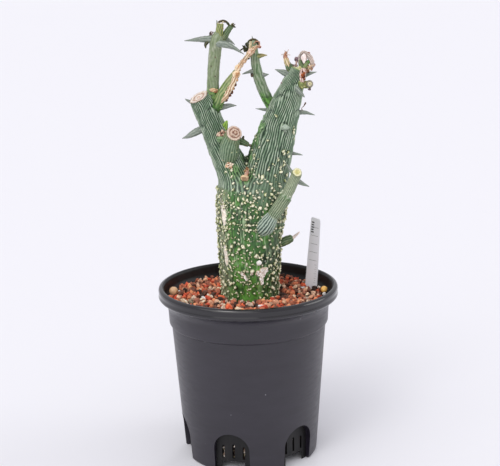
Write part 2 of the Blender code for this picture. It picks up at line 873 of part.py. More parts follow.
def grit_stones(rng):
    """Single stones, sunk into the top of the filling and clear of the trunk and the label."""
    stones = []
    places = []
    while len(stones) < STONES:
        turn = rng.uniform(0, 2 * math.pi)
        reach = math.sqrt(rng.uniform(24**2, 71**2))
        size = rng.uniform(*STONE_RADIUS)
        place = Vector((reach * math.cos(turn), reach * math.sin(turn), SOIL_Z + 0.2))
        if (place.xy - Vector((1.9, 8))).length < 27 + size:
            continue
        if any((place - other).length < 7.4 for other in places):
            continue
        places.append(place)
        bm = bmesh.new()
        spin = Matrix.Rotation(rng.uniform(0, 6), 4, (rng.random(), rng.random(), 1))
        shape = Matrix.Diagonal((size, size * rng.uniform(0.7, 1), size * rng.uniform(0.65, 0.95), 1))
        bmesh.ops.create_icosphere(
            bm, subdivisions=1, radius=MM, matrix=Matrix.Translation(place * MM) @ spin @ shape
        )
        stones.append(object_from_bmesh(bm, "stone"))
    return stones


def make_soil(standing):
    """The filling, with a plain hole or dimple for each piece that stands in it."""
    rng = random.Random(11)
    soil = turned("potting_mix", soil_profile(), SOIL_STEPS)
    roughen_top(soil, rng)
    walls = alcoves(WALL + CLEARANCE)
    boolean(soil, "DIFFERENCE", walls)
    remove(walls)
    union(soil, grit_stones(rng), "MANIFOLD")
    boolean(soil, "DIFFERENCE", standing)
    drop_scraps(soil)
    return finish(soil, "grit", crease=20)


def label(name, grow=0.0):
    half = LABEL_WIDTH / 2
    top = LABEL_ABOVE
    corner = [(half, top - LABEL_CORNER), (half - 0.6, top - 0.6), (half - LABEL_CORNER, top)]
    right = [(half, LABEL_POINT - LABEL_BELOW), *corner]
    outline = [(0, -LABEL_BELOW), *right, *[(-x, y) for x, y in reversed(right)]]
    grown = [(x + math.copysign(grow, x) * (x != 0), y + math.copysign(grow, y)) for x, y in outline]
    obj = flat_piece(name, grown, LABEL_THICKNESS + 2 * grow)
    obj.matrix_world = (
        Matrix.Translation(Vector(LABEL_FOOT) * MM)
        @ Matrix.Rotation(math.radians(-LABEL_TURN), 4, "Z")
        @ Matrix.Rotation(math.radians(LABEL_LEAN), 4, "Y")
        @ Matrix.Rotation(math.pi / 2, 4, "X")
    )
    return obj


STEM_CORE = (
    Tube(*TRUNK, sides=30),
    Tube(*LEFT_ARM, sides=2 * ARM_RIBS, groove=RIB_DEPTH),
    Tube(*RIGHT_ARM, sides=2 * ARM_RIBS, groove=RIB_DEPTH),
)


def wart_places(core, rng):
    """Seeded points on the surface of the main stems, with their normals."""
    mesh = core.data
    mesh.calc_loop_triangles()
    triangles = [
        ([mesh.vertices[i].co / MM for i in triangle.vertices], triangle.normal.copy(), triangle.area)
        for triangle in mesh.loop_triangles
    ]
    triangles = [row for row in triangles if row[0][0].z > WART_LOWEST_Z - 8]
    areas = [row[2] for row in triangles]
    bare = [(Vector(place), reach) for *place, reach in BARE_SPOTS]
    found = []
    for _ in range(60 * WARTS):
        (a, b, c), normal, _ = rng.choices(triangles, areas)[0]
        u, v = sorted((rng.random(), rng.random()))
        place = a * u + b * (v - u) + c * (1 - v)
        fade = max(0.0, (WART_HIGHEST_Z - place.z) / (WART_HIGHEST_Z - WART_FADE_Z))
        if place.z < WART_LOWEST_Z or rng.random() > 0.8 * fade**2:
            continue
        if any((place - other).length < WART_SPACING for other, _ in found):
            continue
        if any((place - spot).length < reach for spot, reach in bare):
            continue
        found.append((place, normal))
        if len(found) == WARTS:
            break
    return found


def wart(place, normal, rng):
    """A blunt five-sided cone whose root is sunk into the stem."""
    radius = rng.uniform(*WART_RADIUS)
    outwards = normal.to_track_quat("Z", "Y").to_matrix().to_4x4()
    bm = bmesh.new()
    bmesh.ops.create_cone(
        bm,
        cap_ends=True,
        segments=5,
        radius1=radius * 1.15 * MM,
        radius2=radius * 0.5 * MM,
        depth=WART_DEPTH * MM,
        matrix=Matrix.Translation((place - normal * WART_SUNK) * MM) @ outwards,
    )
    return object_from_bmesh(bm, "wart")


def make_stem():
    rng = random.Random(5)
    stem = solid(STEM_CORE, "caudex_stem")
    warts = [wart(place, normal, rng) for place, normal in wart_places(stem, rng)]
    spines = [swept(spine(*stations), "spine", 0) for stations in STEM_SPINES]
    scars = [ball(Blob(*place), "scar", 0) for place in CORK_SCAR]
    union(stem, [*warts, *spines, *scars], "MANIFOLD")
    drop_scraps(stem)
    return finish(stem, "stem")


def make_growths(clearances):
    """The side growths, each cut back from what it rests on to leave the clearance."""
    for name, growth in GROWTHS.items():
        body = solid(growth.parts, name)
        boolean(body, "DIFFERENCE", [clearances[other] for other in growth.rests_on])
        drop_scraps(body)
        finish(body, growth.colour)
        clearances[name] = solid(growth.parts, f"{name}_clearance", CLEARANCE)


def main():
    clear_scene()
    new_collection("potted_adenia")
    new_collection("cutters").hide_render = True
    for name in COLOURS:
        make_material(name)
    make_pot()
    spines = [spine(*stations) for stations in STEM_SPINES]
    clearances = {"caudex_stem": solid((*STEM_CORE, *spines), "caudex_stem_clearance", CLEARANCE)}
    make_stem()
    make_growths(clearances)
    loose = {
        "tan_bead": (Blob(*TAN_BEAD, detail=2), "clay"),
        "yellow_bead": (Blob(*YELLOW_BEAD, detail=2), "amber"),
        "white_chip": (Blob(*WHITE_CHIP), "white"),
    }
    for name, (blob, colour) in loose.items():
        finish(ball(blob, name, 0), colour)
    dimples = [ball(blob, "dimple", CLEARANCE) for blob, _ in loose.values()]
    finish(label("plant_label"), "label")
    make_soil([clearances["caudex_stem"], label("label_slot", CLEARANCE), *dimples])


main()
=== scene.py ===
"""The looks of a potted adenia globosa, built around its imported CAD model.

Finer pieces stand for the CAD nodes and keep their forms. Sizes and places are in millimetres in the CAD's
frame, +Z up with the front at -Y, until Shape.build turns them into metres. Everything random is seeded.
"""

import math

import bmesh
import bpy
import numpy as np
from mathutils import Matrix, Vector
from mathutils.kdtree import KDTree


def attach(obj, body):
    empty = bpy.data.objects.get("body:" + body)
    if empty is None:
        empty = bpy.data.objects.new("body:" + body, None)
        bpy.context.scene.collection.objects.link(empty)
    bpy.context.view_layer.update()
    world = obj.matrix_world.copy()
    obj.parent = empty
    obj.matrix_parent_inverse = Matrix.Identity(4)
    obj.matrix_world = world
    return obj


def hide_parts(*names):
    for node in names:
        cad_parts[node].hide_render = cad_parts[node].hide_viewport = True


MM = 0.001
TAU = 2 * math.pi
FRONT = (0, -1, 0)

# The camera, fitted to the photograph.
EYE = (2.72, -905.8, 424.5)
LOOK_AT = (2.72, 0, 207.68)
LENS = 73.74
SENSOR_WIDTH = 36
ROLL = 1.13  # degrees

# The pot: in finer steps than the CAD's, with a rim 1.6 higher and a slightly slimmer body.
POT_HEIGHT = 160.2
BASE_RADIUS = 62.1
LOWER_RING_Z = 126.6
BODY_TOP_RADIUS = 71.2
WALL = 1.5
FLOOR_Z = 10.0
POT_STEPS = 168
ALCOVES = 6
ALCOVE_TURN = -16.5
ALCOVE_HALF_WIDTH = 16.5
ALCOVE_SPRING_Z = 22.0
ALCOVE_TOP_Z = 38.5
ALCOVE_BACK = 56.0
UNDERSIDE_RADIUS = 57.0
SLIT_SPACING = 9.6
SLIT_WIDTH = 2.4
SLIT_BOTTOM_Z = 11.5
SLIT_TOP_Z = 25.0
SLIT_DROP = 1.5  # how much lower the outer slits end
INSIDE_FROM_Z = 100  # above this the inner wall has its own darker finish, as painted shade
SOIL_Z = 147.6
LABEL_FOOT = (59.6, 27, 148)  # where the label stands

# The three main stems: (x, y, z, radius) along the middle of each.
TRUNK = (
    (1.5, 8, 118, 19), (1.6, 8, 128, 24.2), (1.7, 8, 142, 26.2), (1.9, 8, 156, 26.6), (2.3, 8, 180, 28.2),
    (3.0, 8, 209, 29.7), (3.8, 8, 230, 29.6), (4.3, 8, 244, 28.2), (4.6, 8, 254, 24), (4.7, 8, 261, 15),
    (4.8, 8, 264, 4),
)
LEFT_ARM = (
    (-1.0, 8, 216, 22.5), (-4.6, 8, 240, 20.4), (-8.8, 8, 258, 16.8), (-14.6, 7.5, 272, 14.2),
    (-22.4, 6.5, 289, 12.3), (-30.2, 5, 309, 11), (-36.6, 3.4, 324.5, 10.2), (-40.2, 0.8, 331.6, 8.8),
)
RIGHT_ARM = (
    (10.0, 8, 220, 22.5), (15.5, 8, 246, 21.8), (20.0, 8, 268, 20.0), (27.3, 8, 293, 17.3),
    (33.0, 8, 311, 15.0), (39.8, 8, 331, 11.8), (46.2, 8, 347, 8.5), (48.6, 8, 353, 7.7),
)

# Spines of the main stems: leaf-like, thick in the middle, with a fine point.
STEM_SPINES = (
    ((-44.5, 4, 325, 1.6), (-48.3, 3.5, 327.4, 1.4), (-52.3, 3, 330.0, 0.3)),
    ((-36.0, 4, 304, 3.0), (-43.0, 2.5, 300.8, 3.3), (-50.0, 1.5, 297.4, 2.1), (-55.9, 1, 295.2, 0.3)),
    ((-28.0, 4, 320, 2.2), (-20.5, 3, 322.0, 2.6), (-12.8, 2, 323.6, 1.7), (-7.1, 2, 323.4, 0.3)),
    ((42.6, 7.4, 347.6, 3.0), (37.2, 6.6, 350.4, 2.7), (32.4, 5.8, 352.4, 1.9), (27.6, 5, 354.2, 0.3)),
    ((52.0, 7, 347.5, 2.4), (57.4, 6, 349.8, 1.8), (64.2, 5, 351.3, 0.3)),
    ((24.0, 12, 317.4, 1.7), (17.0, 12, 318.3, 1.3), (9.9, 12, 319.2, 0.3)),
    ((44.5, 8, 315.2, 2.2), (53.0, 7, 315.6, 1.8), (62.5, 6, 313.2, 0.3)),
    ((52.2, 7.2, 316.0, 0.5), (51.0, 7.2, 319.2, 0.35), (52.8, 7.2, 321.2, 0.4), (54.4, 7.2, 324.0, 0.8)),
    ((37.0, 5, 279.8, 2.1), (44.0, 4, 279.2, 1.5), (51.1, 3, 277.9, 0.3)),
    ((34.6, -4, 302.5, 2.2), (35.4, -9.5, 301.6, 1.3), (35.9, -12.6, 300.8, 0.4)),
    ((45.0, 0, 339.0, 2.4), (48.6, -3.2, 334.9, 2.4), (52.9, -4.6, 330.4, 0.4)),
    ((-30.2, 13, 306, 2.2), (-31.2, 20, 304.6, 1.9), (-32.0, 27.5, 302.6, 0.3)),
    ((36.0, 17, 322, 2.2), (37.0, 26, 321.2, 1.8), (38.0, 33.5, 319.0, 0.3)),
    ((26.0, 22, 287, 2.2), (25.4, 30, 286.2, 1.8), (24.6, 38.0, 284.0, 0.3)),
)


def colour(code):
    """A linear colour from an sRGB hex code."""
    srgb = np.array([int(code[i : i + 2], 16) for i in (0, 2, 4)]) / 255
    return np.where(srgb <= 0.04045, srgb / 12.92, ((srgb + 0.055) / 1.055) ** 2.4)


def mix(first, second, amount):
    """Colours between the first and the second, one for each amount."""
    amount = np.clip(amount, 0, 1)[..., None]
    return first * (1 - amount) + second * amount


def ramp(value, low, high):
    """0 below low, 1 above high, and smooth in between; low may be the higher one."""
    t = np.clip((np.asarray(value, float) - low) / (high - low), 0, 1)
    return t * t * (3 - 2 * t)


# The numbers that scramble a cell's place into a random value of its own.
HASH_AXES = (73856093, 19349663, 83492791)
HASH_SEED = 7368787
HASH_ROUNDS = ((15, 2246822519), (13, 3266489917))
HASH_BITS = 0xFFFFFFFF
NOISE_ORIGIN = 1000.0  # in cells, so that every cell's number is positive


def noise(points, size, seed=0):
    """Smooth noise from -1 to 1 at (n, 3) points, with bumps of about this size."""
    scaled = np.asarray(points, float).reshape(-1, 3) / size + NOISE_ORIGIN
    cell = np.floor(scaled).astype(np.int64)
    part = scaled - cell
    part = part * part * (3 - 2 * part)
    total = np.zeros(len(scaled))
    for corner in np.ndindex(2, 2, 2):
        x, y, z = ((cell + np.array(corner)) * HASH_AXES).T
        mixed = x ^ y ^ z ^ (seed + 1) * HASH_SEED
        for shift, factor in HASH_ROUNDS:
            mixed = ((mixed ^ mixed >> shift) * factor) & HASH_BITS
        mixed = mixed ^ mixed >> 16
        weight = np.prod(np.where(corner, part, 1 - part), axis=1)
        total += weight * (mixed / HASH_BITS * 2 - 1)
    return total.reshape(np.shape(points)[:-1])


def fractal(points, size, seed=0, octaves=3):
    """Noise with finer bumps on its bumps."""
    total = sum(noise(points, np.divide(size, 2**i), seed + 17 * i) / 2**i for i in range(octaves))
    return total / (2 - 0.5 ** (octaves - 1))


def path_of(stations, step):
    """A smooth path through (x, y, z, radius) stations, with a row about every step millimetres."""
    points = np.array(stations, float)
    padded = np.vstack([2 * points[0] - points[1], points, 2 * points[-1] - points[-2]])
    rows = []
    for a, b, c, d in zip(padded, padded[1:], padded[2:], padded[3:]):
        count = max(2, math.ceil(np.linalg.norm((c - b)[:3]) / step))
        t = (np.arange(count) / count)[:, None]
        bend = (2 * a - 5 * b + 4 * c - d) * t**2 / 2
        rows.append(b + (c - a) * t / 2 + bend + (3 * b - a - 3 * c + d) * t**3 / 2)
    rows.append(points[-1:])
    path = np.vstack(rows)
    path[:, 3] = np.maximum(path[:, 3], 0.05)
    return path


def frames(path, start=FRONT):
    """Unit vectors along the path, to one side of it, and square to both, with no needless twist."""
    along = np.gradient(path[:, :3], axis=0)
    along /= np.linalg.norm(along, axis=1)[:, None]
    side = np.empty_like(along)
    guess = np.array(start, float)
    if abs(guess.dot(along[0])) > 0.95:
        guess = np.array((1.0, 0, 0.1))
    for i, ahead in enumerate(along):
        guess = guess - ahead * guess.dot(ahead)
        guess /= np.linalg.norm(guess)
        side[i] = guess
    return along, side, np.cross(along, side)


def lengths(path):
    """How far along the path each of its rows lies."""
    steps = np.linalg.norm(np.diff(path[:, :3], axis=0), axis=1)
    return np.concatenate([[0], np.cumsum(steps)])


def grid_faces(rings, sides, wrap=True):
    """Quads between the rings of a (rings, sides) grid of points."""
    row = np.arange(rings - 1)[:, None] * sides
    a = np.arange(sides if wrap else sides - 1)[None, :]
    b = (a + 1) % sides
    return np.stack([row + a, row + b, row + sides + b, row + sides + a], axis=-1).reshape(-1, 4)


def ball_of(detail):
    """Points and triangles of a unit icosphere."""
    bm = bmesh.new()
    bmesh.ops.create_icosphere(bm, subdivisions=detail, radius=1)
    points = np.array([vert.co[:] for vert in bm.verts])
    faces = np.array([[vert.index for vert in face.verts] for face in bm.faces])
    bm.free()
    return points, faces


BALLS = {detail: ball_of(detail) for detail in (1, 2, 3, 4)}


class Shape:
    """Points, faces and a colour for each point, that makers add to until build makes them one piece."""

    def __init__(self):
        self.points = []
        self.faces = []
        self.paint = []
        self.count = 0

    def add(self, points, faces, paint):
        """Takes points, faces that number them from 0, and one colour or a colour for each point."""
        points = np.asarray(points, float).reshape(-1, 3)
        self.points.append(points)
        self.paint.append(np.broadcast_to(np.asarray(paint, float).reshape(-1, 3), points.shape))
        self.faces.append(np.asarray(faces) + self.count)
        self.count += len(points)

    def close(self, sides, bottom=True, top=True):
        """Caps the grid that was added last, whose rings have this many sides."""
        first = self.count - len(self.points[-1])
        if bottom:
            self.faces.append(np.arange(first, first + sides)[None, ::-1])
        if top:
            self.faces.append(np.arange(self.count - sides, self.count)[None])

    def build(self, name, material, slot, *replaced, crease=None):
        """Makes the piece, smooth but for edges sharper than crease degrees."""
        mesh = bpy.data.meshes.new(name)
        faces = [face for part in self.faces for face in part.tolist()]
        mesh.from_pydata((np.concatenate(self.points) * MM).tolist(), [], faces)
        paint = mesh.attributes.new("paint", "FLOAT_COLOR", "POINT")
        colours = np.ones((self.count, 4))
        colours[:, :3] = np.concatenate(self.paint)
        paint.data.foreach_set("color", colours.ravel())
        mesh.shade_smooth()
        if crease:
            mesh.set_sharp_from_angle(angle=math.radians(crease))
        return placed(bpy.data.objects.new(name, mesh), material, slot, *replaced)


def placed(obj, material, slot, *replaced):
    """Links a finished piece, which rides on the root body and stands for these CAD nodes."""
    if obj.name not in bpy.context.scene.collection.objects:
        bpy.context.scene.collection.objects.link(obj)
    obj.data.materials.clear()
    obj.data.materials.append(material)
    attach(obj, "root")
    if replaced:
        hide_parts(*replaced)
    return obj


def rounded(path, end, turns=(25, 50, 70, 84)):
    """The extra rows that close one end of a path with a dome."""
    inner = path[1] if end == 0 else path[-2]
    outwards = path[end, :3] - inner[:3]
    outwards /= np.linalg.norm(outwards)
    turns = np.radians(turns)
    rows = np.repeat(path[end][None], len(turns), axis=0)
    rows[:, :3] += outwards * (np.sin(turns) * path[end, 3] * 0.7)[:, None]
    rows[:, 3] = path[end, 3] * np.cos(turns)
    return rows


def tube(shape, stations, paint, sides=16, step=0.8, relief=None, flat=1.0, round_top=True, start=FRONT):
    """Sweeps a round or flattened section along the stations and returns its last ring.

    relief(angle, points) gives how far the skin stands out, and paint is a colour or a function of
    (angle, points, share), where share runs from 0 at the foot to 1 at the top."""
    path = path_of(stations, step)
    _, side, up = frames(path, start)
    foot = rounded(path, 0)[::-1]
    top = rounded(path, -1) if round_top else path[:0]
    rows = np.concatenate([foot, path, top])
    index = np.concatenate([np.zeros(len(foot)), np.arange(len(path)), np.full(len(top), -1)]).astype(int)
    turn = np.arange(sides) * TAU / sides
    out = side[index, None] * np.cos(turn)[:, None] + up[index, None] * np.sin(turn)[:, None] * flat
    points = rows[:, None, :3] + out * rows[:, 3][:, None, None]
    angle, share = np.meshgrid(turn, np.linspace(0, 1, len(rows)))
    if relief is not None:
        fade = np.minimum(1, rows[:, 3] / max(path[:, 3].max() * 0.4, 0.01))[:, None]
        points = points + out * (relief(angle, points) * fade)[..., None]
    shape.add(points, grid_faces(len(rows), sides), paint(angle, points, share) if callable(paint) else paint)
    shape.close(sides, bottom=True, top=round_top)
    return points[-1]


def lump(shape, centre, size, paint, rough=0.25, detail=2, seed=0, turn=None):
    """A rough ball or pebble; size is a radius or one for each axis."""
    points, faces = BALLS[detail]
    shift = np.array((seed * 7.3, seed * 3.1, seed * 5.7))
    swell = 1 + rough * (noise(points + shift, 0.9, seed) + 0.5 * noise(points + shift, 0.4, seed + 5))
    moved = points * swell[:, None] * np.asarray(size, float)
    if turn is not None:
        moved = moved @ np.array(turn.to_matrix()).T
    painted = paint(points, swell) if callable(paint) else paint
    shape.add(moved + np.asarray(centre, float), faces, painted)


class Finish:
    """A material, and the nodes that give its shader colour, roughness and bumps."""

    def __init__(self, name, roughness, specular=0.4):
        self.material = bpy.data.materials.new(name)
        self.material.use_nodes = True
        self.tree = self.material.node_tree
        self.shader = self.tree.nodes["Principled BSDF"]
        self.set(self.shader, {"Roughness": roughness, "Specular IOR Level": specular})

    def set(self, node, inputs):
        """Gives these inputs their values; where one is another node's output, it is linked."""
        for name, value in inputs.items():
            if isinstance(value, bpy.types.NodeSocket):
                self.tree.links.new(value, node.inputs[name])
            else:
                node.inputs[name].default_value = value

    def add(self, kind, output, inputs, **settings):
        """Adds a node, and returns its output of this name."""
        node = self.tree.nodes.new("ShaderNode" + kind)
        for name, value in settings.items():
            setattr(node, name, value)
        self.set(node, inputs)
        return node.outputs[output]

    def show(self, **inputs):
        """Sets the shader's inputs, named with _ for a space, and returns the material."""
        self.set(self.shader, {name.replace("_", " "): value for name, value in inputs.items()})
        return self.material

    def place(self):
        """The piece's own coordinates."""
        return self.add("TexCoord", "Object", {})

    def noise(self, scale, detail=3.0, stretch=(1, 1, 1)):
        """Noise with scale in bumps per metre."""
        mapped = self.add("Mapping", "Vector", {"Vector": self.place(), "Scale": stretch})
        return self.add("TexNoise", "Fac", {"Vector": mapped, "Scale": scale, "Detail": detail})

    def spread(self, value, low, high, start=0.0, end=1.0):
        """The value, brought from between start and end to between low and high."""
        limits = {"From Min": start, "From Max": end, "To Min": low, "To Max": high}
        return self.add("MapRange", "Result", {"Value": value, **limits})

    def scaled(self, colours, factor):
        return self.add("VectorMath", "Vector", {"Vector": colours, "Scale": factor}, operation="SCALE")

    def tones(self, value, first, last):
        """A colour for the value, between two stops of (position, (red, green, blue))."""
        node = self.tree.nodes.new("ShaderNodeValToRGB")
        for element, (position, tone) in zip(node.color_ramp.elements, (first, last)):
            element.position = position
            element.color = (*tone, 1)
        self.set(node, {"Fac": value})
        return node.outputs["Color"]

    def bumps(self, height, distance):
        """Normals with bumps as high as this distance in millimetres."""
        return self.add("Bump", "Normal", {"Height": height, "Strength": 1, "Distance": distance * MM})


def painted_material(name, roughness, fine, bump, change=0.25, specular=0.4, stretch=(1, 1, 1), soft=0.0):
    """Shows the painted colours, broken up by noise, with fine bumps of that many to the metre."""
    finish = Finish(name, roughness, specular)
    paint = finish.add("Attribute", "Color", {}, attribute_name="paint")
    grain = finish.noise(fine, 4, stretch)
    uneven = finish.spread(grain, 1 - change, 1 + change, 0.3, 0.7)
    if soft:
        finish.show(Subsurface_Weight=soft, Subsurface_Radius=(0.002, 0.002, 0.001), Subsurface_Scale=0.5)
    return finish.show(
        Base_Color=finish.scaled(paint, uneven),
        Roughness=finish.spread(finish.noise(fine / 3), roughness - 0.12, min(1, roughness + 0.15)),
        Normal=finish.bumps(grain, bump),
    )


# The main stems are one smooth body. Each stem's own mesh is pulled onto it where they meet, and what lies
# under another stem is sunk, so that they look like one skin.
class Stem:
    def __init__(self, stations, step=1.0):
        self.path = path_of(stations, step)
        self.along, self.side, self.up = frames(self.path)
        self.length = lengths(self.path)
        self.slope = np.gradient(self.path[:, 3], self.length)

    def nearest(self, points):
        """For each point: distance from the skin, its slope in space, length along the stem, and turn from
        the front."""
        middle = self.path[:, :3]
        index = np.argmin((middle**2).sum(1) - 2 * points @ middle.T, axis=1)
        gap = points - middle[index]
        along = self.along[index]
        ahead = (gap * along).sum(1)
        across = gap - along * ahead[:, None]
        away = np.maximum(np.linalg.norm(across, axis=1), 1e-6)
        outwards = across / away[:, None]
        slope = self.slope[index]
        beyond = np.where(index == 0, ahead.clip(max=0), np.where(index == len(middle) - 1, ahead.clip(0), 0))
        distance = away - (self.path[index, 3] + slope * (ahead - beyond))
        rise = outwards - along * slope[:, None]
        past = np.abs(beyond) > 1e-6
        corner = np.hypot(distance.clip(0), beyond).clip(1e-6)
        rounded_rise = (outwards * distance.clip(0)[:, None] + along * beyond[:, None]) / corner[:, None]
        rise = np.where(past[:, None], rounded_rise, rise)
        distance = np.where(past, corner, distance)
        turn = np.arctan2((across * self.up[index]).sum(1), (across * self.side[index]).sum(1))
        return distance, rise, self.length[index] + ahead, turn


STATIONS = {"trunk": TRUNK, "left": LEFT_ARM, "right": RIGHT_ARM}
STEMS = {name: Stem(stations) for name, stations in STATIONS.items()}
FORK_BLEND = 4.0  # how widely the two arms run into each other
TRUNK_BLEND = 9.0  # and how widely they run into the trunk


def blended(first, second, width):
    """The smooth union of two (distance, slope) fields."""
    (a, a_rise), (b, b_rise) = first, second
    h = np.maximum(width - np.abs(a - b), 0) / width
    a_share = np.where(a < b, 1 - h / 2, h / 2)[:, None]
    return np.minimum(a, b) - h * h * width / 4, a_rise * a_share + b_rise * (1 - a_share)


def skin_field(points):
    """Distance from the one smooth skin round all three main stems, and its slope in space."""
    trunk, left, right = (STEMS[name].nearest(points)[:2] for name in ("trunk", "left", "right"))
    return blended(blended(left, right, FORK_BLEND), trunk, TRUNK_BLEND)


def onto_skin(points, rounds=5):
    """The points moved to the skin, and its normals there."""
    for _ in range(rounds):
        distance, rise = skin_field(points)
        points = points - rise * np.clip(distance / (rise**2).sum(1).clip(0.3), -4, 4)[:, None]
    rise = skin_field(points)[1]
    return points, rise / np.linalg.norm(rise, axis=1).clip(1e-6)[:, None]


def from_front(x, z):
    """The points of the main stems' skin that are seen from the front at these x and z."""
    points = np.stack(np.broadcast_arrays(x, -60.0, z), axis=-1).reshape(-1, 3).astype(float)
    for _ in range(60):
        points[:, 1] += skin_field(points)[0] * 0.8
    return points


# Nodes on the arms, where a spine stands and the ribs part round it: (stem, x, y, z, reach).
ARM_NODES = (
    ("left", -37.0, 0, 303, 5.0),
    ("left", -27.5, -3, 320, 5.0),
    ("left", -44.0, 0, 325, 3.5),
    ("right", 34.5, -8.5, 305.0, 5.0),
    ("right", 38.4, -6.0, 333.0, 5.5),
    ("right", 31.4, -5.0, 329.0, 5.5),
    ("right", 15.0, -8.0, 300.0, 5.0),
    ("right", 24.5, 2, 316.5, 4.0),
    ("right", 46.5, 2, 315.5, 4.5),
    ("right", 38.5, -4, 279.5, 4.0),
    ("right", 46.5, -1.5, 339.5, 4.0),
)
RIB_COUNTS = {"left": (44, 34), "right": (56, 38)}  # at the arm's foot and at its top


def ribs(points):
    """Where each point lies across the arms' ribs: 1 on a crest and 0 in a groove."""
    found = {}
    for name in ("left", "right"):
        stem = STEMS[name]
        gap, _, length, turn = stem.nearest(points)
        low, high = RIB_COUNTS[name]
        share = np.clip(length / stem.length[-1], 0, 1)
        count = low + (high - low) * share
        radius = np.interp(length, stem.length, stem.path[:, 3])
        wave = 0.38 * noise(points, (6, 6, 13), 3) + 0.16 * noise(points, (2.5, 2.5, 5), 4)
        wave = wave + 0.5 * noise(points, (22, 22, 30), 5)
        phase = count * turn / TAU + wave
        for owner, x, y, z, reach in ARM_NODES:
            if owner == name:
                _, _, node_length, node_turn = stem.nearest(np.array([[x, y, z]], float))
                sideways = (turn - node_turn[0]) * radius
                lengthways = length - node_length[0]
                pull = np.exp(-(sideways**2 + (lengthways * 0.7) ** 2) / reach**2)
                phase = phase - pull * np.sign(sideways) * np.minimum(np.abs(sideways), reach) * 0.22
        found[name] = gap, 0.5 + 0.5 * np.cos(TAU * phase)
    on_right = ramp(found["right"][0] - found["left"][0], 0.4, -0.4)
    return found["left"][1] * (1 - on_right) + found["right"][1] * on_right


def node_marks(points):
    """The pale middle of each spine's node, and the dark arch over it."""
    middle = np.zeros(len(points))
    arch = np.zeros(len(points))
    for _, x, y, z, reach in ARM_NODES:
        gap = points - np.array([x, y, z])
        away = np.linalg.norm(gap * (1, 0.6, 1.1), axis=1) / reach
        middle = np.maximum(middle, ramp(away, 0.62, 0.3))
        line = np.exp(-(((away - 0.85 - 0.14 * noise(points, 2, 11)) / 0.12) ** 2))
        arch = np.maximum(arch, line * ramp(gap[:, 2], -0.1 * reach, 0.3 * reach))
    return middle, arch


def arm_share(points):
    """1 on the ribbed arms and 0 on the warty trunk. The line is sharp at the left and fades at the right."""
    ragged = 1.6 * noise(points, 5, 8) + 1.2 * noise(points, 2, 9)
    fade = np.interp(points[:, 0], (-8, 12), (1.2, 24.0))
    return ramp(points[:, 2] + ragged - 250, -fade, 1.5)


FRESH_SPOTS = (  # where the arms are still bright green: (x, y, z, reach)
    (-12, -8, 266, 9), (-2, -12, 262, 9), (6, -6, 262, 8), (8, 4, 290, 12), (11, 4, 304, 11),
    (3, 3, 276, 10), (22, 14, 314, 8),
)
ARM_CREST = colour("b6c3ad")
ARM_SIDE = colour("698566")
ARM_GROOVE = colour("203726")
ARM_LEFT_SHEEN = colour("9a9e92")
ARM_LIME = colour("679650")
ARM_MOTTLE = colour("a5c08c")
TRUNK_BRIGHT = colour("5a9239")
TRUNK_MID = colour("3f6c33")
TRUNK_DARK = colour("152c17")
TRUNK_STREAK = colour("9bb388")
TRUNK_LEFT_SHEEN = colour("8b8d74")
TRUNK_RIGHT_SHADE = colour("46573a")
CORK = colour("f5efe2")
CORK_PINK = colour("e0cdb8")
FISSURES = (  # pale cork splits: (x, z of the bottom, z of the top, half width, lean)
    (-20.6, 216, 240, 2.0, -0.6), (-19.2, 180, 201, 2.0, -1.2), (-24.0, 190, 204, 0.5, 0.0),
    (-23.4, 226, 244, 0.5, 0.3), (-15.5, 193, 203, 0.4, 0.3),
)
CROSS_LINES = (  # fine pale rings across the trunk: (z, x from, x to)
    (234, -16, 0), (205, 2, 12), (185.5, 13, 24), (176, -14, -4),
)
GROOVE_LEVELS = (234, 205, 185.5)  # where the trunk is drawn in a little


def cork_marks(points):
    """How far each point lies in one of the trunk's pale splits."""
    total = np.zeros(len(points))
    rough = 0.5 * noise(points, 1.6, 31)
    x, y, z = points.T
    for middle, low, high, half, lean in FISSURES:
        line = middle + lean * (z - low) / (high - low) + 0.5 * noise(points, (9, 9, 4), 32)
        taper = np.sqrt(np.clip(1 - ((z - (low + high) / 2) / ((high - low) / 2)) ** 2, 0, 1))
        inside = half * taper + rough * taper - np.abs(x - line)
        total = np.maximum(total, ramp(inside, 0, 0.35) * (y < 8) * (taper > 0))
    gap = points - np.array([-3.4, -19.8, 171.6])
    across = np.abs(gap[:, 0] * 0.72 + gap[:, 2] * 0.69)
    along = np.abs(gap[:, 0] * 0.69 - gap[:, 2] * 0.72)
    total = np.maximum(total, ramp(1.0 + rough - across, 0, 0.4) * (along < 4.6) * (y < 0))
    for level, left, right in CROSS_LINES:
        off = np.abs(z - level - 0.8 * noise(points, 6, 33))
        inside = ramp(off, 0.45, 0.15) * ramp(noise(points, 2.5, 34), -0.5, 0.1)
        total = np.maximum(total, 0.7 * inside * (x > left) * (x < right) * (y < 0))
    return total


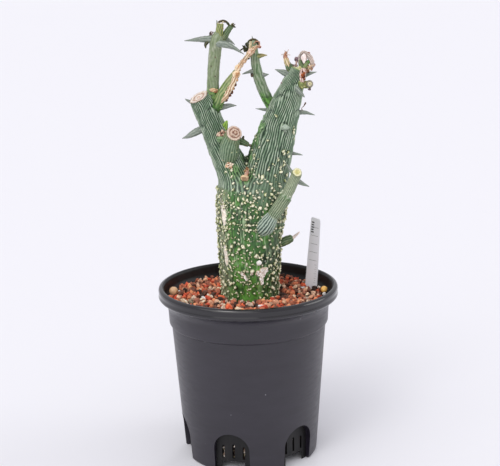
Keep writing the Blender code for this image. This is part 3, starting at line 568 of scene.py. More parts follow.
def trunk_skin(points, normals):
    """Relief and colour of the warty trunk at these points."""
    x, _, z = points.T
    lumps = 0.5 * fractal(points, 6, 41) + 0.3 * noise(points, (1.8, 1.8, 3), 42)
    furrow = noise(points, (2.2, 2.2, 20), 43)
    relief = lumps + 0.22 * furrow - 0.7 + 0.7 * ramp(z, 236, 247) * ramp(x, 8, -6)
    for level in GROOVE_LEVELS:
        relief = relief - 0.35 * np.exp(-(((z - level - 1.0 * noise(points, 16, 44)) / 0.8) ** 2))

    patch = fractal(points, (9, 9, 17), 51) + 0.25 * ramp(z, 190, 160) * ramp(x, 10, -4)
    tone = mix(TRUNK_MID, TRUNK_BRIGHT, ramp(patch, 0.0, 0.45))
    # Dark patches, more of them towards the right side, in part as painted shade.
    tone = mix(tone, TRUNK_DARK, ramp(-patch + 0.012 * (x - 4), 0.05, 0.42) * 0.9)
    # Painted shade in the hollows between the lumps.
    tone = mix(tone, TRUNK_DARK, ramp(lumps, -0.05, -0.4) * 0.6)
    # Painted shade on the right-facing side of the trunk.
    tone = mix(tone, TRUNK_RIGHT_SHADE, ramp(normals[:, 0], 0.45, 0.85) * 0.75)
    # Painted sheen: a pale olive grey on the left-facing side, where the light falls.
    left_sheen = ramp(normals[:, 0] - 0.1 * noise(points, 5, 52), -0.5, -0.85)
    tone = mix(tone, TRUNK_LEFT_SHEEN, left_sheen * 0.75)
    streaks = ramp(noise(points, (1.1, 1.1, 13), 53) + 0.5 * noise(points, (0.8, 0.8, 5), 54), 0.1, 0.5)
    streaks = streaks * ramp(noise(points, (5, 5, 12), 55), -0.35, 0.25)
    tone = mix(tone, TRUNK_STREAK, streaks * np.interp(z, (158, 190), (0.4, 0.95)))
    dark = ramp(noise(points, (1.2, 1.2, 10), 56) + 0.4 * noise(points, (0.9, 0.9, 3), 57), 0.25, 0.65)
    mottle = 1 + 0.3 * noise(points, (0.9, 0.9, 1.8), 66)
    return relief, mix(tone, TRUNK_DARK, dark * 0.7) * mottle[:, None]


def arm_skin(points, normals):
    """Relief and colour of the ribbed arms at these points."""
    x, _, z = points.T
    across = ribs(points)
    middle, arch = node_marks(points)
    fresh = np.zeros(len(points))
    for *spot, reach in FRESH_SPOTS:
        fresh = np.maximum(fresh, ramp(np.linalg.norm(points - spot, axis=1) / reach, 1.0, 0.6))
    fresh = fresh * ramp(noise(points, 4, 59), -0.7, 0.0)
    across = across * (0.8 + 0.3 * noise(points, (2.5, 2.5, 9), 63))
    calm = 0.6 * ramp(z, 274, 248) * ramp(x, 0, 12)
    across = across * (1 - calm) + 0.55 * calm
    across = across * (1 + 0.25 * ramp(noise(points, (1.1, 1.1, 3.2), 65), -0.2, -0.7))
    crest = across.clip(0, 1) ** 1.6
    relief = 0.95 * crest - 0.5 + 0.3 * noise(points, 6, 45) + 0.3 * noise(points, (2, 2, 4), 46)
    relief = relief * (1 - 0.4 * middle) + 0.5 * middle - 0.6 * arch
    relief = relief + fresh * (0.9 * noise(points, 3, 47) + 0.3)
    relief = relief - 0.6 * ramp(z, 262, 253) * ramp(x, 8, -6)

    tone = mix(ARM_SIDE, ARM_CREST, ramp(across, 0.55, 0.95))
    tone = mix(ARM_GROOVE, tone, ramp(across + 0.15 * noise(points, 2, 58), 0.08, 0.5))
    # Painted sheen: pale grey on the crests of the left-facing side, where the light falls.
    tone = mix(tone, ARM_LEFT_SHEEN, ramp(-normals[:, 0], 0.45, 0.95) * 0.35 * ramp(across, 0.2, 0.7))
    lime = mix(TRUNK_DARK, ARM_LIME, ramp(across + 0.5 * noise(points, 2.4, 60), 0.0, 0.8))
    lime = mix(lime, ARM_MOTTLE, ramp(noise(points, 1.4, 64), 0.3, 0.6) * 0.8)
    tone = mix(tone, lime, fresh * 0.85)
    tone = mix(tone, ARM_CREST, middle * 0.4)
    tone = mix(tone, ARM_GROOVE * 0.8, arch * 0.75)
    dusty = 1 + 0.10 * noise(points, 5, 61) + 0.08 * noise(points, 1.2, 62)
    # Painted shade low on the right arm, by its foot; the line above is a random tone.
    dusty = dusty * (1 - 0.2 * ramp(z, 285, 255) * ramp(x, 0, 12))
    return relief, tone * dusty[:, None]


def stem_skin(points, normals):
    """Relief and colour of the main stems' skin at these points, with painted shade where the stems face each
    other closely.
    """
    low, low_tone = trunk_skin(points, normals)
    high, high_tone = arm_skin(points, normals)
    share = arm_share(points)
    faint = ribs(points) * ramp(points[:, 2], 205, 245) * ramp(points[:, 0], -2, 12)
    low_tone = mix(low_tone, ARM_SIDE, 0.5 * ramp(faint, 0.5, 0.95))
    cork = cork_marks(points)
    relief = low * (1 - share) + high * share + cork * (0.3 + 0.2 * noise(points, 0.9, 48))
    tone = mix(low_tone, high_tone, share)
    tone = mix(tone, mix(CORK_PINK, CORK, ramp(noise(points, 0.8, 49), -0.5, 0.1)), cork)
    # Painted shade where the skin faces another stem close by, as in the fork.
    shade = ramp(skin_field(points + normals * 5.0)[0], 4.6, 2.0)
    return relief, tone * (1 - 0.6 * shade)[:, None]


SUNK = 3.0  # how deep a stem's mesh lies where another stem covers it
COVERED = -5.0  # points deeper inside another stem than this stay where they are


def stem_mesh(name, sides, step, warts):
    """One main stem's grid on the common skin, with its relief and colours."""
    path = path_of(STATIONS[name], step)
    _, side, up = frames(path)
    turn = np.arange(sides) * TAU / sides
    out = side[:, None] * np.cos(turn)[:, None] + up[:, None] * np.sin(turn)[:, None]
    points = (path[:, None, :3] + out * path[:, 3][:, None, None]).reshape(-1, 3)
    others = [stem for other, stem in STEMS.items() if other != name]
    movable = np.minimum(*[other.nearest(points)[0] for other in others]) > COVERED
    normals = np.broadcast_to(out, (len(path), sides, 3)).reshape(-1, 3).copy()
    points[movable], normals[movable] = onto_skin(points[movable])
    relief, paint = stem_skin(points, normals)
    beside = warts.near(points)
    relief = relief + 0.3 * beside
    # Painted shade on the skin round each wart's foot.
    paint = paint * (1 - 0.5 * beside)[:, None]
    under = STEMS[name].nearest(points)[0] - np.minimum(*[other.nearest(points)[0] for other in others])
    under = np.clip((under - 0.5) * 0.6, 0, SUNK)
    under[~movable] = SUNK
    points = points + normals * (relief - under)[:, None]
    return points.reshape(len(path), sides, 3), paint.reshape(len(path), sides, 3)


WART_CREAM = colour("f0ebc8")
WART_GREEN = colour("a8b26a")
WART_FOOT_SHADE = colour("4d5f33")
WART_TIP_HIGHLIGHT = colour("fbf8e6")
WART_TRIES = 14000
WART_HEIGHTS = (147, 300)
WART_SPACING = (2.6, 4.8)
WART_CROWDING = 1.3  # how far the smaller warts lie from the one they crowd round
BARE_SPOTS = (  # (x, y, z, reach): where a growth or a scar keeps the warts away
    (18, -18, 216, 9), (24, -14, 226, 7), (32, 4, 197, 6), (-14, -4, 284, 15), (-3, -3, 291, 8),
    (1, -11, 260, 6), (13, -19, 173, 8), (10, -20, 185, 4),
)
ARM_WARTS = (  # single warts on the arms, as (x, z) seen from the front
    (20, 293), (10, 292), (8, 280), (8, 277), (10, 273), (6, 268), (20, 268), (33, 283), (34, 281),
    (38, 282), (38, 278), (29, 276), (34, 274), (31, 269), (31, 265), (43, 302), (43, 299), (43, 293),
    (28, 314), (22, 255), (30, 252), (10, 257), (1, 252), (12, 262), (3.2, 299), (1.5, 305), (9, 300),
    (25, 249), (36, 261), (35, 256),
)


WHITE = (1, 1, 1)
WARM = (1, 0.99, 0.97)
SUNS = (  # (name, where its light comes from, strength, spread in degrees, tint)
    ("key", (-0.5, -0.7, 0.85), 0.7, 60, WARM),
    ("key_core", (-0.45, -0.65, 0.9), 0.4, 20, WARM),
    ("side", (1.0, 0.1, 0.4), 0.58, 36, WHITE),
    ("fill", (-0.3, -1.0, 0.35), 0.4, 60, WHITE),
    ("top", (0.1, 0.55, 1.0), 0.2, 6, WHITE),
)
SKY = (0.95, 0.945, 1.0, 1)
SKY_STRENGTH = 0.74
FLOOR_TONE = (0.827, 0.823, 0.857, 1)
FLOOR_REACH = 70  # metres


def make_camera():
    camera = bpy.data.objects.new("camera", bpy.data.cameras.new("camera"))
    bpy.context.scene.collection.objects.link(camera)
    camera.data.sensor_width = SENSOR_WIDTH
    camera.data.lens = LENS
    forwards = (Vector(LOOK_AT) - Vector(EYE)).normalized()
    level = forwards.to_track_quat("-Z", "Y").to_matrix().to_4x4()
    roll = Matrix.Rotation(math.radians(-ROLL), 4, "Z")
    camera.matrix_world = Matrix.Translation(Vector(EYE) * MM) @ level @ roll
    camera.data.clip_start = 0.01
    camera.data.clip_end = 200
    bpy.context.scene.camera = camera


def make_studio():
    """Soft light from far away on a plain pale floor."""
    scene = bpy.context.scene
    scene.view_settings.view_transform = "Standard"
    scene.world = bpy.data.worlds.new("studio")
    scene.world.use_nodes = True
    back = scene.world.node_tree.nodes["Background"]
    back.inputs["Color"].default_value = SKY
    back.inputs["Strength"].default_value = SKY_STRENGTH
    for name, source, strength, spread, tint in SUNS:
        data = bpy.data.lights.new(name, "SUN")
        data.energy = strength
        data.angle = math.radians(spread)
        data.color = tint
        light = bpy.data.objects.new(name, data)
        light.rotation_euler = Vector(source).to_track_quat("Z", "Y").to_euler()
        scene.collection.objects.link(light)
    mesh = bpy.data.meshes.new("floor")
    corners = [(x * FLOOR_REACH, y * FLOOR_REACH, 0) for x, y in ((-1, -1), (1, -1), (1, 1), (-1, 1))]
    mesh.from_pydata(corners, [], [(0, 1, 2, 3)])
    mesh.materials.append(Finish("floor_paper", 0.9, 0.1).show(Base_Color=FLOOR_TONE))
    floor = bpy.data.objects.new("floor", mesh)
    scene.collection.objects.link(floor)


def lathe(name, profile):
    """A closed turned body from (radius, z) points that start and end on the axis, top first."""
    radii, heights = np.array(profile, float).T
    turn = np.arange(POT_STEPS) * TAU / POT_STEPS
    ring = radii[1:-1, None]
    rings = np.broadcast_arrays(ring * np.cos(turn), ring * np.sin(turn), heights[1:-1, None])
    points = np.vstack([np.stack(rings, axis=-1).reshape(-1, 3), (0, 0, heights[0]), (0, 0, heights[-1])])
    top, bottom = len(points) - 2, len(points) - 1
    last = top - POT_STEPS
    sides = [(i, (i + 1) % POT_STEPS) for i in range(POT_STEPS)]
    faces = grid_faces(len(radii) - 2, POT_STEPS)[:, ::-1].tolist()
    faces += [(a, b, top) for a, b in sides]
    faces += [(last + b, last + a, bottom) for a, b in sides]
    return mesh_object(name, points, faces)


def mesh_object(name, points, faces):
    """A working mesh object in metres, with its faces turned outwards."""
    mesh = bpy.data.meshes.new(name)
    corners = [[int(i) for i in face] for face in faces]
    mesh.from_pydata((np.asarray(points, float) * MM).tolist(), [], corners)
    bm = bmesh.new()
    bm.from_mesh(mesh)
    bmesh.ops.recalc_face_normals(bm, faces=bm.faces)
    bm.to_mesh(mesh)
    bm.free()
    obj = bpy.data.objects.new(name, mesh)
    bpy.context.scene.collection.objects.link(obj)
    return obj


def arch_outline(half_width, bottom, spring, top, steps, shift=0.0):
    """A doorway's (x, z) outline: straight sides up to spring, then half an ellipse up to top."""
    rise = top - spring
    turns = [math.pi * i / steps for i in range(steps + 1)]
    arch = [(shift + half_width * math.cos(turn), spring + rise * math.sin(turn)) for turn in turns]
    return [(shift - half_width, bottom), (shift + half_width, bottom), *arch]


def doorway(name, outline, turn, near, far):
    """A prism with this outline, from near to far from the pot's axis, at a turn from the front."""
    angle = math.radians(turn)
    outwards = np.array((math.sin(angle), -math.cos(angle), 0))
    sideways = np.array((math.cos(angle), math.sin(angle), 0))
    points = [outwards * reach + sideways * x + (0, 0, z) for reach in (near, far) for x, z in outline]
    count = len(outline)
    faces = [list(range(count)), list(range(count, 2 * count))]
    faces += [(i, (i + 1) % count, (i + 1) % count + count, i + count) for i in range(count)]
    return mesh_object(name, np.array(points), faces)


def cut(target, cutters):
    """Takes the cutters out of the target, and deletes them."""
    group = bpy.data.collections.new("cutters")
    for cutter in cutters:
        group.objects.link(cutter)
    change = target.modifiers.new("cut", "BOOLEAN")
    change.operation = "DIFFERENCE"
    change.operand_type = "COLLECTION"
    change.collection = group
    change.solver = "EXACT"
    bpy.context.view_layer.update()
    graph = bpy.context.evaluated_depsgraph_get()
    mesh = bpy.data.meshes.new_from_object(target.evaluated_get(graph))
    target.modifiers.clear()
    target.data = mesh
    bpy.data.collections.remove(group)
    for cutter in cutters:
        bpy.data.objects.remove(cutter)


# The rolled rim and its inner side, as (radius, height over the pot's top), and the shoulders under them.
RIM = (
    (78.2, 0), (79.6, 0), (80.8, -0.3), (81.7, -1.0), (82.2, -2.0), (82.35, -3.2), (82.2, -4.4),
    (81.9, -5.4), (81.95, -6.4), (82.3, -7.4), (82.45, -8.3), (82.2, -9.2), (81.4, -10.1), (80.0, -11.2),
    (78.4, -12.6), (76.9, -14.2), (75.7, -15.8), (74.9, -17.2),
)
INNER_RIM = (
    (0, 5), (79.4, 5), (79.2, 0.3), (78.4, -0.3), (77.7, -0.9), (77.25, -1.8), (77.1, -3), (77.1, -8),
    (76.7, -10.5), (75.4, -12.5), (73.8, -14.5), (71.8, -17.5),
)
SHOULDER = ((74.3, 141.4), (73.9, 139.0), (73.6, 134.0))
LOWER_RING = ((73.3, 1.0), (73.0, 0.1), (72.2, -0.6), (BODY_TOP_RADIUS, -1.5))  # heights from its own z
FOOT_EDGE = ((0.1, 1.5), (-0.4, 0.6), (-1.4, 0))  # (radius past the base's, z)
BODY_ROWS = (110, 90, 70, 50, 30, 15, 3.2)


def body_radius(z):
    return BASE_RADIUS + (BODY_TOP_RADIUS - BASE_RADIUS) * z / LOWER_RING_Z


def pot_profile():
    """The pot's outside, from the top of its rim down to the ground."""
    return [
        (0, POT_HEIGHT),
        *[(radius, POT_HEIGHT + over) for radius, over in RIM],
        *SHOULDER,
        *[(radius, LOWER_RING_Z + over) for radius, over in LOWER_RING],
        *[(body_radius(z), z) for z in BODY_ROWS],
        *[(BASE_RADIUS + past, z) for past, z in FOOT_EDGE],
        (0, 0),
    ]


def inner_profile():
    """The room inside the pot, from over its rim down to its floor."""
    return [
        *[(radius, POT_HEIGHT + over) for radius, over in INNER_RIM],
        (69.6, LOWER_RING_Z - 1.5),
        (body_radius(FLOOR_Z) - WALL, FLOOR_Z),
        (0, FLOOR_Z),
    ]


BELOW = -20  # under the pot
OUTSIDE = 95  # farther from the axis than any wall
ARCH_STEPS = 24
SLIT_ARCH_STEPS = 8
SLIT_REACH = 2.5  # how far a slit's cutter reaches to each side of the wall


def alcove_turns():
    return [ALCOVE_TURN + 360 / ALCOVES * i for i in range(ALCOVES)]


def alcoves(name, extra, near):
    """Cutters for the alcoves, larger by extra all round and open from near outwards."""
    half, top = ALCOVE_HALF_WIDTH + extra, ALCOVE_TOP_Z + extra
    outline = arch_outline(half, BELOW, ALCOVE_SPRING_Z, top, ARCH_STEPS)
    return [doorway(name, outline, turn, near, OUTSIDE) for turn in alcove_turns()]


def drain_slits():
    made = []
    for turn in alcove_turns():
        for side in (-1, 0, 1):
            top = SLIT_TOP_Z - SLIT_DROP * abs(side)
            half = SLIT_WIDTH / 2
            outline = arch_outline(half, SLIT_BOTTOM_Z, top - half, top, SLIT_ARCH_STEPS, side * SLIT_SPACING)
            made.append(doorway("slit", outline, turn, ALCOVE_BACK - SLIT_REACH, ALCOVE_BACK + SLIT_REACH))
    return made


def make_pot():
    cavity = lathe("cavity", inner_profile())
    cut(cavity, alcoves("wall", WALL, ALCOVE_BACK - WALL))
    underside_z = FLOOR_Z - WALL
    underside = [(0, underside_z), (UNDERSIDE_RADIUS, underside_z), (UNDERSIDE_RADIUS, -5), (0, -5)]
    cutters = [cavity, *alcoves("alcove", 0, ALCOVE_BACK), lathe("underside", underside), *drain_slits()]
    pot = lathe("pot_moulding", pot_profile())
    cut(pot, cutters)
    pot.data.shade_smooth()
    pot.data.set_sharp_from_angle(angle=math.radians(38))
    placed(pot, pot_material(), "black_plastic", "nursery_pot")
    pot.data.materials.append(shaded_inside_material())
    # The inner wall and the alcoves' recesses take the darker copy, as painted shade.
    for face in pot.data.polygons:
        x, y, z = face.center / MM
        radius = math.hypot(x, y)
        inner_wall = z > INSIDE_FROM_Z and face.normal.dot(Vector((x, y, 0)) / max(radius, 1)) < -0.5
        recess = z < ALCOVE_TOP_Z + 1 and radius < ALCOVE_BACK + 4
        if inner_wall or recess:
            face.material_index = 1


def shaded_inside_material():
    """The same plastic inside the rim and in the alcoves: darker and duller as painted shade, with faint
    streaks down it.
    """
    finish = Finish("pot_plastic_inside_shaded", 0.42, 0.32)
    streaks = finish.noise(160, 4, (1, 1, 0.15))
    return finish.show(
        Base_Color=finish.tones(streaks, (0.35, (0.0035, 0.0035, 0.004)), (0.75, (0.013, 0.012, 0.012))),
        Roughness=finish.spread(finish.noise(90, 3, (1, 1, 0.3)), 0.3, 0.55),
    )


POLISH_AND_SHADE_HEIGHTS = (0.147, 0.153)  # from this height in metres to this one, the plastic turns from matt to polished, and its colour turns darker as painted shade on the rim


def pot_material():
    """Grey-black plastic with faint flow marks and light specks, polished on the rim and matt below, with its
    colour painted darker on the rim as painted shade.
    """
    finish = Finish("pot_plastic", 0.5, 0.74)
    height = finish.add("SeparateXYZ", "Z", {"Vector": finish.place()})
    flow = finish.noise(30, 5, (1, 1, 3.5))
    black = finish.tones(flow, (0.3, (0.007, 0.0045, 0.0115)), (0.72, (0.012, 0.009, 0.018)))
    specks = finish.add("TexVoronoi", "Distance", {"Vector": finish.place(), "Scale": 170})
    reach = finish.spread(finish.noise(60, 2), 0, 0.12, 0.60, 0.72)
    on_speck = finish.add("Math", "Value", {0: specks, 1: reach}, operation="LESS_THAN")
    dust = finish.add("Math", "Value", {0: on_speck, 1: 0.6}, operation="MULTIPLY")
    mixed = {"Factor": dust, "A": black, "B": (0.32, 0.31, 0.34, 1)}
    dusty = finish.add("Mix", "Result", mixed, data_type="RGBA")
    scuffs = finish.spread(finish.noise(90, 6, (1, 1, 6)), -0.05, 0.06, 0.35, 0.7)
    polish = finish.spread(height, 0.38, 0.12, *POLISH_AND_SHADE_HEIGHTS)
    # Painted shade: the base colour falls to 0.32 of itself on the rim.
    return finish.show(
        Base_Color=finish.scaled(dusty, finish.spread(height, 1.0, 0.32, *POLISH_AND_SHADE_HEIGHTS)),
        Roughness=finish.add("Math", "Value", {0: polish, 1: scuffs}),
        Normal=finish.bumps(finish.noise(700, 4), 0.015),
    )


LEFT_CUT = (  # the cut ends' bands: (share of the radius, lift, colour), from the rim inwards
    (1.0, 0, "7d6a58"), (0.96, 0.4, "b89f8c"), (0.88, 0.5, "e8ddd1"), (0.7, 0.3, "ddcfc1"),
    (0.62, 0.0, "b08a73"), (0.56, 0.0, "a37c64"), (0.5, 0.15, "d8c6b6"), (0.25, 0.0, "e6dcd1"),
    (0.12, -0.1, "c9a58e"), (0.0, -0.2, "d9bfab"),
)
CROWN_TOP = (
    (1.0, 0, "6f8f5a"), (0.9, 0.8, "c3c79a"), (0.7, 1.3, "f0ecc8"), (0.3, 1.5, "f4f0d4"),
    (0.0, 1.4, "dcd3a4"),
)
MAIN_STEMS = (  # (stem, piece, sides, step, how cut_face closes its top)
    ("trunk", "caudex_trunk", 340, 0.95, None),
    ("left", "left_arm", 300, 0.85, (LEFT_CUT, 0.3, 61)),
    ("right", "right_arm", 360, 0.85, (CROWN_TOP, 0.7, 71)),
)


def make_stems(material, warts):
    for name, piece, sides, step, closing in MAIN_STEMS:
        points, paint = stem_mesh(name, sides, step, warts)
        shape = Shape()
        shape.add(points, grid_faces(len(points), sides), paint)
        if closing:
            cut_face(shape, points[-1], STEMS[name].along[-1], *closing)
        shape.build(piece, material, "green_skin", "caudex_stem")


def skin_points(rng, count, low, high, batch=600):
    """Random points on the main stems' smooth skin between two heights, with their normals."""
    found = []
    while sum(len(part) for part, _ in found) < count:
        z = rng.uniform(low, high, batch)
        turn = rng.uniform(0, TAU, batch)
        names = rng.choice(list(STEMS), batch, p=(0.5, 0.2, 0.3))
        places = np.zeros((batch, 3))
        for i, name in enumerate(names):
            path = STEMS[name].path
            row = path[np.argmin(np.abs(path[:, 2] - z[i]))]
            places[i] = row[:3] + np.array((math.sin(turn[i]), -math.cos(turn[i]), 0)) * row[3]
        places, normals = onto_skin(places)
        good = np.abs(skin_field(places)[0]) < 0.1
        found.append((places[good], normals[good]))
    return np.concatenate([part for part, _ in found]), np.concatenate([part for _, part in found])


class Warts:
    """The places of all the warts, worked out before the skin, which is swollen round each and painted darker
    round each wart's foot as painted shade.
    """

    def __init__(self):
        rng = np.random.default_rng(21)
        self.rows = []
        places, normals = skin_points(rng, WART_TRIES, *WART_HEIGHTS)
        wanted = rng.random(len(places)) < self.share(places, normals)
        wanted &= cork_marks(places) < 0.3
        for *spot, reach in BARE_SPOTS:
            wanted &= np.linalg.norm(places - spot, axis=1) > reach
        kept = np.empty((0, 3))
        for place, normal in zip(places[wanted], normals[wanted]):
            spacing = rng.uniform(*WART_SPACING)
            if len(kept) and np.min(np.linalg.norm(kept - place, axis=1)) < spacing:
                continue
            kept = np.vstack([kept, place])
            size = 0.6 + 0.85 * rng.random() ** 1.6
            self.crowd(place, normal, size, rng.integers(0, 4), rng)
        seen = from_front(*np.array(ARM_WARTS, float).T)
        seen = seen[np.abs(skin_field(seen)[0]) < 0.5]
        for place, normal in zip(*onto_skin(seen)):
            self.crowd(place, normal, rng.uniform(0.9, 1.3), rng.integers(0, 3), rng)
        self.tree = KDTree(len(self.rows))
        for i, (place, *_) in enumerate(self.rows):
            self.tree.insert(place, i)
        self.tree.balance()

    def share(self, places, normals):
        """How likely a wart is at each place: the trunk is full of them, the arms have few."""
        x, z = places[:, 0], places[:, 2]
        share = np.where(z < 249, 1, np.clip((292 - z) / 50, 0, 1) ** 2 * 0.1)
        share[(z > 249) & (normals[:, 0] < -0.5) & (x > 0) & (normals[:, 1] < 0.6)] = 0.13
        share[(z > 249) & (z < 258) & (x < -2)] = 0.02
        return share * np.clip(0.8 + 0.8 * noise(places, 9, 77) + 0.3 * (x < -8), 0.05, 1)

    def crowd(self, place, normal, size, count, rng):
        """One wart and some smaller ones against it."""
        self.rows.append((place, normal, size))
        for _ in range(count):
            beside, up = onto_skin((place + rng.normal(0, WART_CROWDING, 3))[None], 3)
            self.rows.append((beside[0], up[0], size * rng.uniform(0.4, 0.8)))

    def near(self, points):
        """1 at the foot of a wart and 0 away from all of them, for the painted shade and the swelling round
        the warts' feet.
        """
        found = [self.tree.find(point) for point in points.tolist()]
        gap = np.array([away / self.rows[index][2] for _, index, away in found])
        return ramp(gap, 2.4, 1.0)

    def build(self, material):
        rng = np.random.default_rng(22)
        shape = Shape()
        for place, normal, size in self.rows:
            wart(shape, place, normal, size, rng)
        return shape.build("warts", material, "pale_cork", "caudex_stem")


def wart(shape, place, normal, size, rng):
    """A crusty cream or greenish lump on the skin, with painted shade at its foot and a painted highlight on
    its tip.
    """
    points, faces = BALLS[2 if size > 0.7 else 1]
    seed = int(rng.integers(1, 900))
    swell = 1 + 0.55 * noise(points + seed, 0.8, seed) + 0.25 * noise(points + seed, 0.4, seed + 1)
    long = rng.uniform(1.2, 1.7) if rng.random() < 0.3 else 1.0
    tall = size * rng.uniform(0.6, 1.15)
    height = points[:, 2]
    wide = 1 + 0.35 * ramp(height, 0.3, -0.5)
    moved = points * swell[:, None] * (size * long, size * rng.uniform(0.65, 1), tall)
    moved = moved * np.stack([wide, wide, np.ones(len(points))], axis=-1)
    spin = np.array(Matrix.Rotation(rng.uniform(0, TAU), 3, "Z"))
    turn = np.array(Vector(normal).to_track_quat("Z", "Y").to_matrix())
    body = mix(WART_CREAM, WART_GREEN, np.array(rng.random() ** 1.6)) * rng.uniform(0.8, 1.1)
    # Painted shade at the wart's foot and a painted highlight on its tip.
    paint = mix(WART_FOOT_SHADE, body, ramp(height + 0.5 * (swell - 1), -0.3, 0.45))
    paint = mix(paint, WART_TIP_HIGHLIGHT, ramp(height, 0.6, 0.95) * 0.7)
    shape.add(moved @ spin.T @ turn.T + place + np.asarray(normal) * tall * 0.35, faces, paint)


SCAR_PLATES = (  # the corky scars low on the front, as ellipses: (x, z, half width, half height)
    (14.6, 176.6, 3.8, 3.2), (10.2, 174.6, 3.0, 2.6), (12.8, 173.0, 2.8, 3.0), (16.8, 178.0, 1.8, 1.6),
    (12.2, 169.2, 1.7, 3.0), (12.4, 165.6, 1.3, 2.4), (-4.4, 174.0, 1.6, 1.2), (-2.6, 171.6, 1.4, 1.7),
    (-1.4, 169.6, 1.0, 1.3), (3.8, 174.4, 1.7, 0.9),
)
SCAR_X = (-8, 20)
SCAR_Z = (160, 181)
SCAR_DEPTH = 2.6  # how far the sheet reaches under the skin


def thick_sheet(shape, top, bottom, faces, paint):
    """Adds a closed slab: these faces on the top points, turned over on the bottom ones, and a wall
    round them."""
    used, faces = np.unique(faces, return_inverse=True)
    faces = faces.reshape(-1, 4)
    edges = {edge for face in faces.tolist() for edge in zip(face, face[1:] + face[:1])}
    count = len(used)
    wall = [(b, a, a + count, b + count) for a, b in sorted(edges) if (b, a) not in edges]
    both = np.concatenate([faces, faces[:, ::-1] + count, wall])
    shape.add(np.concatenate([top[used], bottom[used]]), both, np.concatenate([paint[used], paint[used]]))


def make_scar(material):
    """The corky scars on the front of the trunk, one broken sheet of cork with cracks in it."""
    columns, rows = 190, 150
    x, z = (grid.ravel() for grid in np.meshgrid(np.linspace(*SCAR_X, columns), np.linspace(*SCAR_Z, rows)))
    place, normal = onto_skin(from_front(x, z))
    inside = np.full(x.size, -1.0)
    for middle, height, wide, tall in SCAR_PLATES:
        inside = np.maximum(inside, 1 - np.hypot((x - middle) / wide, (z - height) / tall))
    inside = inside + 0.16 + 0.24 * noise(place, 1.7, 400) + 0.12 * noise(place, 0.7, 401)
    cracks = np.abs(noise(place * (1, 1, 0.45), 0.8, 402) + 0.3 * noise(place, 0.4, 404))
    whole = ramp(cracks, 0.03, 0.2)
    lift = -2.0 + (3.2 + 0.7 * noise(place, 2.2, 403)) * ramp(inside, -0.1, 0.35)
    lift = lift - 0.45 * (1 - whole) * ramp(inside, 0, 0.3)
    pale = mix(colour("e6cfba"), colour("fffaf2"), ramp(lift + 0.5 * noise(place, 1.2, 405), 0.2, 1.1))
    faces = grid_faces(rows, columns, False)
    faces = faces[inside[faces].max(1) > -0.1]
    scar = Shape()
    paint = mix(colour("a98872"), pale, whole)
    thick_sheet(scar, place + normal * lift[:, None], place - normal * SCAR_DEPTH, faces, paint)
    scar.build("cork_scar", material, "pale_cork", "caudex_stem")


def make_perlite(material):
    """The white grain of perlite that sticks to the trunk above the scar."""
    grain = Shape()
    lump(grain, on_front(10.1, 185, 1.0), 2.4, colour("f4f1ec"), 0.12, 3, 420)
    grain.build("perlite_grain", material, "white_pumice", "caudex_stem")


GRIT_TONES = (  # (colour, how common it is, whether it is a red one)
    ("cf5f40", 13, True),
    ("e0855f", 11, True),
    ("b54e38", 8, True),
    ("aa654c", 12, False),
    ("8e5a49", 9, False),
    ("cf9678", 13, False),
    ("e0b598", 9, False),
    ("b59c8a", 5, False),
    ("704d40", 9, False),
    ("40302a", 8, False),
    ("948770", 3, False),
    ("ece0d4", 1.2, False),
)
SLIT_TONES = [7, 9, 10, 11]  # the rows above that show in the drain slits
GRIT_RADIUS = 74.2  # the inner wall at the grit's top
GRIT_REACH = 74  # how far from the axis grains are thrown
BED_RADII = (72.9, 20)
TRUNK_ROOM = (1.9, 8, 26.2)  # (x, y, radius) of the trunk there
LABEL_ACROSS = (0.914, 0.407)  # the label's direction
LABEL_ROOM = (7, 1.0)  # from its middle, sideways and to its front or back
BEAD_ROOM = ((-69.5, 9, 4.6), (70.6, 8, 3.5), (70, 0, 2.2))  # (x, y, radius) of the beads and the chip


def grit_clear(x, y, size):
    """True where a grain of this size lies clear of the trunk, the label and the beads."""
    if math.hypot(x, y) > GRIT_RADIUS - size:
        return False
    trunk_x, trunk_y, trunk_radius = TRUNK_ROOM
    if math.hypot(x - trunk_x, y - trunk_y) < trunk_radius + size * 0.55:
        return False
    right, back = x - LABEL_FOOT[0], y - LABEL_FOOT[1]
    cos, sin = LABEL_ACROSS
    wide, deep = LABEL_ROOM
    if abs(right * cos - back * sin) < wide and abs(back * cos + right * sin) < deep + size * 0.8:
        return False
    return all(math.hypot(x - bx, y - by) >= radius + size * 0.75 for bx, by, radius in BEAD_ROOM)


def grains_over(rng, tries, sizes, spacing, height):
    """Places of one layer of grains, as (x, y, z, size), thrown down until few more fit."""
    kept = np.empty((0, 4))
    for _ in range(tries):
        reach = GRIT_REACH * math.sqrt(rng.random())
        turn = rng.uniform(0, TAU)
        size = sizes[0] + (sizes[1] - sizes[0]) * rng.random() ** 1.2
        x, y = reach * math.cos(turn), reach * math.sin(turn)
        if not grit_clear(x, y, size):
            continue
        if np.any(np.hypot(kept[:, 0] - x, kept[:, 1] - y) < (kept[:, 3] + size) * spacing):
            continue
        swell = 0.9 * float(noise(np.array([x, y, 0.0]), 14, 95))
        kept = np.vstack([kept, (x, y, height + swell + rng.uniform(-0.8, 0.9), size)])
    return kept


